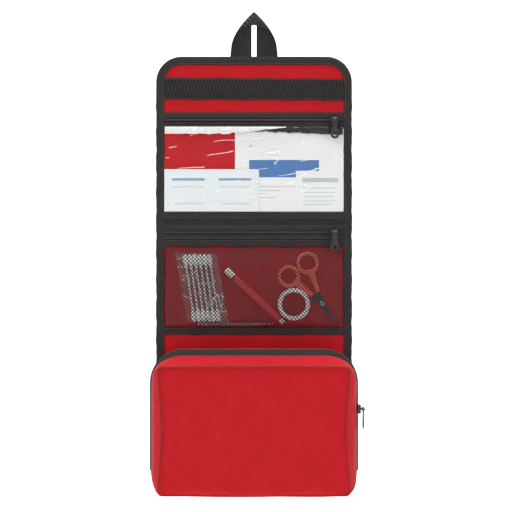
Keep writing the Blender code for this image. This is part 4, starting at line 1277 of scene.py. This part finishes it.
# ---- pouch ----------------------------------------------------------------------------
@dataclass
class Pouch:
    """Zipped pouch: gussets round a black zip ring, a puffed front and rolled bandages."""

    kit: Kit
    wall: float = 1.2 * MM
    puff: float = 5.0 * MM
    band: float = 5.2 * MM
    shrink: float = -0.008
    pressure: float = 1.4
    frames: int = 20
    cap: float = 9.0 * MM

    def __post_init__(self) -> None:
        """Reads the three outlines' sizes from the frame."""
        ring_low, ring_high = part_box("pouch_zip_tape_rear")
        front_low, front_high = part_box("front_panel")
        self.ring_y = (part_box("pouch_zip_coil")[0][1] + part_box("pouch_zip_coil")[1][1]) / 2
        self.ring = (ring_high[0], ring_high[2], ring_low[2], 34 * MM, 24 * MM)
        self.front = (front_high[0], front_high[2], front_low[2], 5 * MM, 5 * MM, 3.6 * MM)
        self.rear = (self.kit.half - 1.5 * MM, ring_high[2] - 1.0 * MM, ring_low[2] + 2 * MM,
                     32 * MM, 22 * MM)
        self.lip = (ring_high[0] - 0.8 * MM, ring_high[2] - self.band, ring_low[2] + 0.5 * MM,
                    32 * MM, 24 * MM)
        self.front_y = front_low[1]

    def gusset(self, name: str, start: np.ndarray, end: np.ndarray, swell: float, seed: int,
               finish: Finish, steps: int = 22) -> bpy.types.Object:
        """Wall from one hoop to another: a straight loft plus a half-sine swell outwards and
        soft creases that fade at both seams."""
        share = np.linspace(0.0, 1.0, steps)[:, None, None]
        centre = np.array((0.0, 0.0, (self.ring[1] + self.ring[2]) / 2))
        base = start[None] + (end - start)[None] * share
        out = (base - centre) * np.array((1.0, 0.0, 1.0))
        out /= np.linalg.norm(out, axis=2, keepdims=True)
        arc = np.linspace(0.0, 1.0, base.shape[1])[None, :]
        crease = ripple(arc * 700 * MM + 0 * share[..., 0], base[..., 1] * 1.6, seed, 46 * MM, 8)
        lift = np.sin(math.pi * share[..., 0]) * (swell + 0.9 * MM * crease)
        outer = base + out * lift[..., None]
        inner = outer - out * self.wall
        index, wall = tube_faces(*outer.shape[:2])
        turned = np.roll(index, -1, axis=1)
        offset = index.size
        rims = [np.stack([index[k], turned[k], turned[k] + offset, index[k] + offset], -1)
                for k in (0, -1)]
        faces = np.concatenate([wall, wall[:, ::-1] + offset, *rims]).tolist()
        uv = np.concatenate([spans(outer).reshape(-1, 2)] * 2)
        return mesh_piece(name, np.concatenate([outer.reshape(-1, 3), inner.reshape(-1, 3)]),
                          faces, uv, finish, 60.0)

    def front_panel(self) -> bpy.types.Object:
        """Front: a sheet that fills its seam outline, blown and creased by a cloth run."""
        half, top, foot, radius, _, waist = self.front
        share = np.linspace(-1.0, 1.0, 73)[:, None]
        up = np.linspace(0.0, 1.0, 55)[None, :]
        z = foot + (top - foot) * up + 0 * share
        edge = half - waist * np.sin(math.pi * np.clip((up * (top - foot) - radius)
                                                       / (top - foot - 2 * radius), 0, 1))
        near = np.minimum(z - foot, top - z)
        into = np.clip(radius - near, 0.0, radius)
        x = share * (edge - radius + np.sqrt(radius ** 2 - into ** 2))
        rim = (1.0 - share ** 4) * (1.0 - (2 * up - 1) ** 4)
        y = self.front_y - self.puff * 0.15 * rim
        grid = stacked(x, y, z)
        quick = grid - rim[..., None] * AWAY * self.puff * 0.8
        grid = self.blown(grid)
        soft = 0.55 * MM * ripple(x, z, 31, 70 * MM) + 0.25 * MM * ripple(x, z, 37, 27 * MM)
        grid[..., 1] += soft * np.clip(rim * 3.0, 0.0, 1.0)
        back = grid + AWAY * self.wall
        piece = slab("pouch_front", grid, back, Finish.RED, 60.0)
        return piece

    def blown(self, grid: np.ndarray) -> np.ndarray:
        """Runs the sheet as cloth, sewn at its rim, under a little pressure and its weight.

        Args:
            grid: Points (across, up, xyz) of the flat sheet.

        Returns:
            The same grid after the run, no point moved further than a cap.
        """
        index, quads = grid_faces(*grid.shape[:2])
        mesh = bpy.data.meshes.new("front_sheet")
        mesh.from_pydata(grid.reshape(-1, 3).tolist(), [], quads.tolist())
        sheet = bpy.data.objects.new("front_sheet", mesh)
        bpy.context.collection.objects.link(sheet)
        rim = np.concatenate([index[0], index[-1], index[:, 0], index[:, -1]])
        sheet.vertex_groups.new(name="sewn").add(np.unique(rim).tolist(), 1.0, "REPLACE")
        cloth = sheet.modifiers.new("cloth", "CLOTH")
        cloth.settings.vertex_group_mass = "sewn"
        cloth.settings.quality = 6
        cloth.settings.mass = 0.25
        cloth.settings.tension_stiffness = 12.0
        cloth.settings.compression_stiffness = 12.0
        cloth.settings.bending_stiffness = 0.6
        cloth.settings.shrink_min = self.shrink
        cloth.settings.use_pressure = True
        cloth.settings.uniform_pressure_force = self.pressure
        cloth.settings.effector_weights.gravity = 0.25
        scene = bpy.context.scene
        for frame in range(1, self.frames + 1):
            scene.frame_set(frame)
        graph = bpy.context.evaluated_depsgraph_get()
        moved = np.empty(grid.size)
        sheet.evaluated_get(graph).data.vertices.foreach_get("co", moved)
        scene.frame_set(1)
        bpy.data.objects.remove(sheet, do_unlink=True)
        shift = moved.reshape(grid.shape) - grid
        if shift[..., 1].mean() > 0.0:
            shift[..., 1] *= -1.0
        far = np.linalg.norm(shift, axis=2, keepdims=True)
        LOG.info("front panel blown by %.1f mm", far.max() / MM)
        return grid + shift * np.minimum(1.0, self.cap / np.maximum(far, 1e-9))

    def piping(self, name: str, outline: np.ndarray, y: float, radius: float,
               finish: Finish) -> bpy.types.Object:
        """Rolled seam: a thin round cord laid along a hoop."""
        step = np.roll(outline, -1, axis=0) - np.roll(outline, 1, axis=0)
        step /= np.linalg.norm(step, axis=1, keepdims=True)
        out = stacked(step[:, 1], -step[:, 0])
        angle = np.linspace(0.0, TAU, 9)[:-1]
        flat = outline[:, None, :] + out[:, None, :] * (radius * np.cos(angle))[None, :, None]
        depth = np.broadcast_to(y + radius * np.sin(angle), flat.shape[:2])
        return sleeve(name, stacked(flat[..., 0], depth, flat[..., 1]), finish, closed=True)

    def coil(self) -> bpy.types.Object:
        """Zip coil up one side, over the top and down the other, swelling once a turn."""
        foot = self.ring[2] + 24 * MM
        path, inward = arch(self.ring[0], self.ring[1], foot, 34 * MM)
        steps = np.concatenate([[0.0], np.cumsum(np.linalg.norm(np.diff(path, axis=0), axis=1))])
        fine = np.linspace(0.0, steps[-1], 1700)
        path = np.stack([np.interp(fine, steps, path[:, k]) for k in range(2)], -1)
        inward = np.stack([np.interp(fine, steps, inward[:, k]) for k in range(2)], -1)
        angle = np.linspace(0.0, TAU, 9)[:-1]
        swell = (1.0 + 0.14 * np.sin(fine * TAU / COIL_PITCH))[:, None]
        reach = -0.1 * MM - 1.2 * MM * np.cos(angle)[None] * swell
        flat = path[:, None, :] + inward[:, None, :] * reach[..., None]
        depth = self.ring_y + 0.68 * MM * np.sin(angle)[None] * swell
        return sleeve("pouch_coil", stacked(flat[..., 0], depth, flat[..., 1]), Finish.COIL,
                      sharp=80.0)

    def tape(self, name: str, node: str, body: str, front: tuple) -> None:
        """Black zip tape: a narrow woven wall from the ring to its front outline."""
        low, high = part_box(node)
        band = self.gusset(name, standing(hoop(*self.ring), high[1] + 0.3 * MM),
                           standing(hoop(*front), low[1] - 0.3 * MM), 0.25 * MM, 3,
                           Finish.ZIP_TAPE, 7)
        stand_in(band, body, node)

    def bandage(self, number: int) -> None:
        """Rolled bandage: a cylinder whose ends show the spiral of its wound layers."""
        low, high = box_of(f"bandage_roll_{number}")
        radius = (high[2] - low[2]) / 2.0
        inner = np.linspace(1.5 * MM, radius - 0.8 * MM, 22)
        dent = 0.35 * MM * (np.arange(22) % 2)
        length = high[0] - low[0]
        middle = np.linspace(1.2 * MM, length - 1.2 * MM, 30)
        wound = radius - 0.25 * MM + 0.12 * MM * np.sin(middle * 900)
        profile = np.concatenate([stacked(0.4 * MM + dent, inner),
                                  stacked(middle, wound),
                                  stacked(length - 0.4 * MM - dent, inner)[::-1]])
        base = np.array((low[0], (low[1] + high[1]) / 2, (low[2] + high[2]) / 2))
        rings = turned_rings(base, np.array((1.0, 0.0, 0.0)), profile, 48)
        roll = sleeve(f"bandage_{number}", rings, Finish.COTTON, sharp=60.0)
        stand_in(roll, "pouch", f"bandage_roll_{number}")

    def build(self) -> None:
        """Makes the pouch from its back seam to its front."""
        ring, front = hoop(*self.ring), hoop(*self.front)
        rear = hoop(*self.rear)
        tape_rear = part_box("pouch_zip_tape_rear")[1][1]
        tape_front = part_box("pouch_zip_tape_front")[0][1]
        back = self.gusset("pouch_rear_wall", standing(rear, -0.9 * MM),
                           standing(ring, tape_rear + 0.3 * MM), 1.6 * MM, 41, Finish.RED)
        stand_in(back, "pouch", "rear_gusset")
        lid = self.gusset("pouch_lid_wall", standing(hoop(*self.lip), tape_front - 0.2 * MM),
                          standing(front, self.front_y), 2.4 * MM, 43, Finish.RED)
        stand_in(lid, "pouch_lid", "front_gusset")
        panel = self.front_panel()
        stand_in(panel, "pouch_lid", "front_panel")
        seam = self.piping("pouch_front_seam", front, self.front_y, 0.7 * MM, Finish.RED_THREAD)
        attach(seam, "pouch_lid")
        inset = hoop(self.front[0] - 2.6 * MM, self.front[1] - 2.6 * MM, self.front[2] + 2.6 * MM,
                     4 * MM, 4 * MM, 3.6 * MM)
        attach(stitches("pouch_front_stitch", standing(np.vstack([inset, inset[:1]]),
                                                        self.front_y - 0.75 * MM),
                         Finish.RED_THREAD), "pouch_lid")
        self.tape("pouch_tape_rear", "pouch_zip_tape_rear", "pouch", self.ring)
        self.tape("pouch_tape_front", "pouch_zip_tape_front", "pouch_lid", self.lip)
        coil = self.coil()
        stand_in(coil, "pouch", "pouch_zip_coil")
        FlatBand("loop_strip", "pouch", Finish.HOOKS, (), tuck=0.0).build()
        for number in (1, 2):
            self.bandage(number)


# ---- studio ---------------------------------------------------------------------------
@dataclass
class Studio:
    distance: float = 1.3
    width: float = 541.7 * MM
    centre: tuple = (2.1 * MM, -245.5 * MM)

    def sweep(self) -> None:
        """Floor that curves up into a pale wall: flat, a quarter circle, then upright."""
        turn = np.radians(np.linspace(-90.0, 0.0, 16))
        bend = stacked(0.5 + 0.5 * np.cos(turn), -0.12 + 0.5 * np.sin(turn))
        profile = np.concatenate([[(-2.2, -0.62)], bend, [(1.0, 1.6)]])
        x = np.linspace(-2.5, 2.5, 3)
        points = stacked(x[:, None], profile[None, :, 0], profile[None, :, 1])
        _, quads = grid_faces(3, len(profile))
        mesh = bpy.data.meshes.new("sweep")
        mesh.from_pydata(points.reshape(-1, 3).tolist(), [], quads.tolist())
        mesh.shade_smooth()
        tree = Shader("sweep_paper")
        mesh.materials.append(tree.close(tree.surface(Base_Color=(0.93, 0.93, 0.93, 1.0),
                                                      Roughness=0.9)))
        sweep = bpy.data.objects.new("sweep", mesh)
        bpy.context.collection.objects.link(sweep)

    def light(self, name: str, spot: tuple, aim: tuple, size: float, power: float) -> None:
        """Square soft light at a spot, turned to its aim."""
        lamp = bpy.data.lights.new(name, "AREA")
        lamp.size = size
        lamp.energy = power
        holder = bpy.data.objects.new(name, lamp)
        holder.location = spot
        direction = np.array(aim) - np.array(spot)
        holder.rotation_euler = (math.atan2(math.hypot(direction[0], direction[1]), -direction[2]),
                                 0.0, math.atan2(-direction[0], direction[1]))
        bpy.context.collection.objects.link(holder)

    def build(self) -> None:
        """Makes the sweep, the lights, the world and the camera."""
        self.sweep()
        self.light("key", (-0.9, -1.3, 0.7), (0.0, 0.0, -0.25), 1.0, 11.5)
        self.light("fill", (1.1, -1.2, 0.1), (0.0, 0.0, -0.25), 1.2, 5.5)
        self.light("wall_wash", (0.0, 0.25, 1.1), (0.0, 1.0, -0.3), 1.2, 45.0)
        world = bpy.data.worlds.new("studio")
        world.use_nodes = True
        backdrop = world.node_tree.nodes["Background"]
        backdrop.inputs[0].default_value = (1.0, 1.0, 1.0, 1.0)
        backdrop.inputs[1].default_value = 0.36
        bpy.context.scene.world = world
        bpy.context.scene.view_settings.view_transform = "Standard"
        lens = bpy.data.cameras.new("camera")
        lens.sensor_width = 36.0
        lens.lens = 36.0 * self.distance / self.width
        camera = bpy.data.objects.new("camera", lens)
        camera.location = (self.centre[0], -self.distance, self.centre[1])
        camera.rotation_euler = (math.radians(90.0), 0.0, 0.0)
        bpy.context.collection.objects.link(camera)
        bpy.context.scene.camera = camera


def main() -> None:
    logging.basicConfig(level=logging.INFO)
    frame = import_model()
    nodes = frame["nodes"]
    kit = Kit.measured(frame["record"]["behaviour"]["joints"])
    Studio().build()
    HangingLoop(kit).build()
    Backing(kit).build()
    FlatBand("hook_strip", "flap", Finish.HOOKS, (0.06, 0.94), tilt=0.006).build()
    for prefix in ("upper", "lower"):
        PanelZip(prefix, prefix).build()
    ClearPocket().build()
    FlatBand("middle_band", "upper", Finish.BINDING, (0.15, 0.85)).build()
    cover = facing("middle_fold_tape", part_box("middle_band")[1][0] + 1.0 * MM,
                   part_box("middle_band")[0][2] + 1.0 * MM,
                   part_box("lower_zip_tape_top")[1][2] - 1.0 * MM, 0.8 * MM, 20)
    kit.middle.cross(cover)
    FlatBand("mesh_facing", "lower", Finish.BINDING, (0.15, 0.85)).build()
    FlatBand("bottom_band", "lower", Finish.BINDING, (0.15, 0.85)).build()
    MeshPocket(kit, nodes).build()
    for part in ("upper", "lower", "pouch"):
        for piece in ("slider", "pull"):
            keep(nodes[f"{part}_{piece}"], Finish.METAL)
    Pouch(kit).build()


if __name__ == "__main__":
    main()
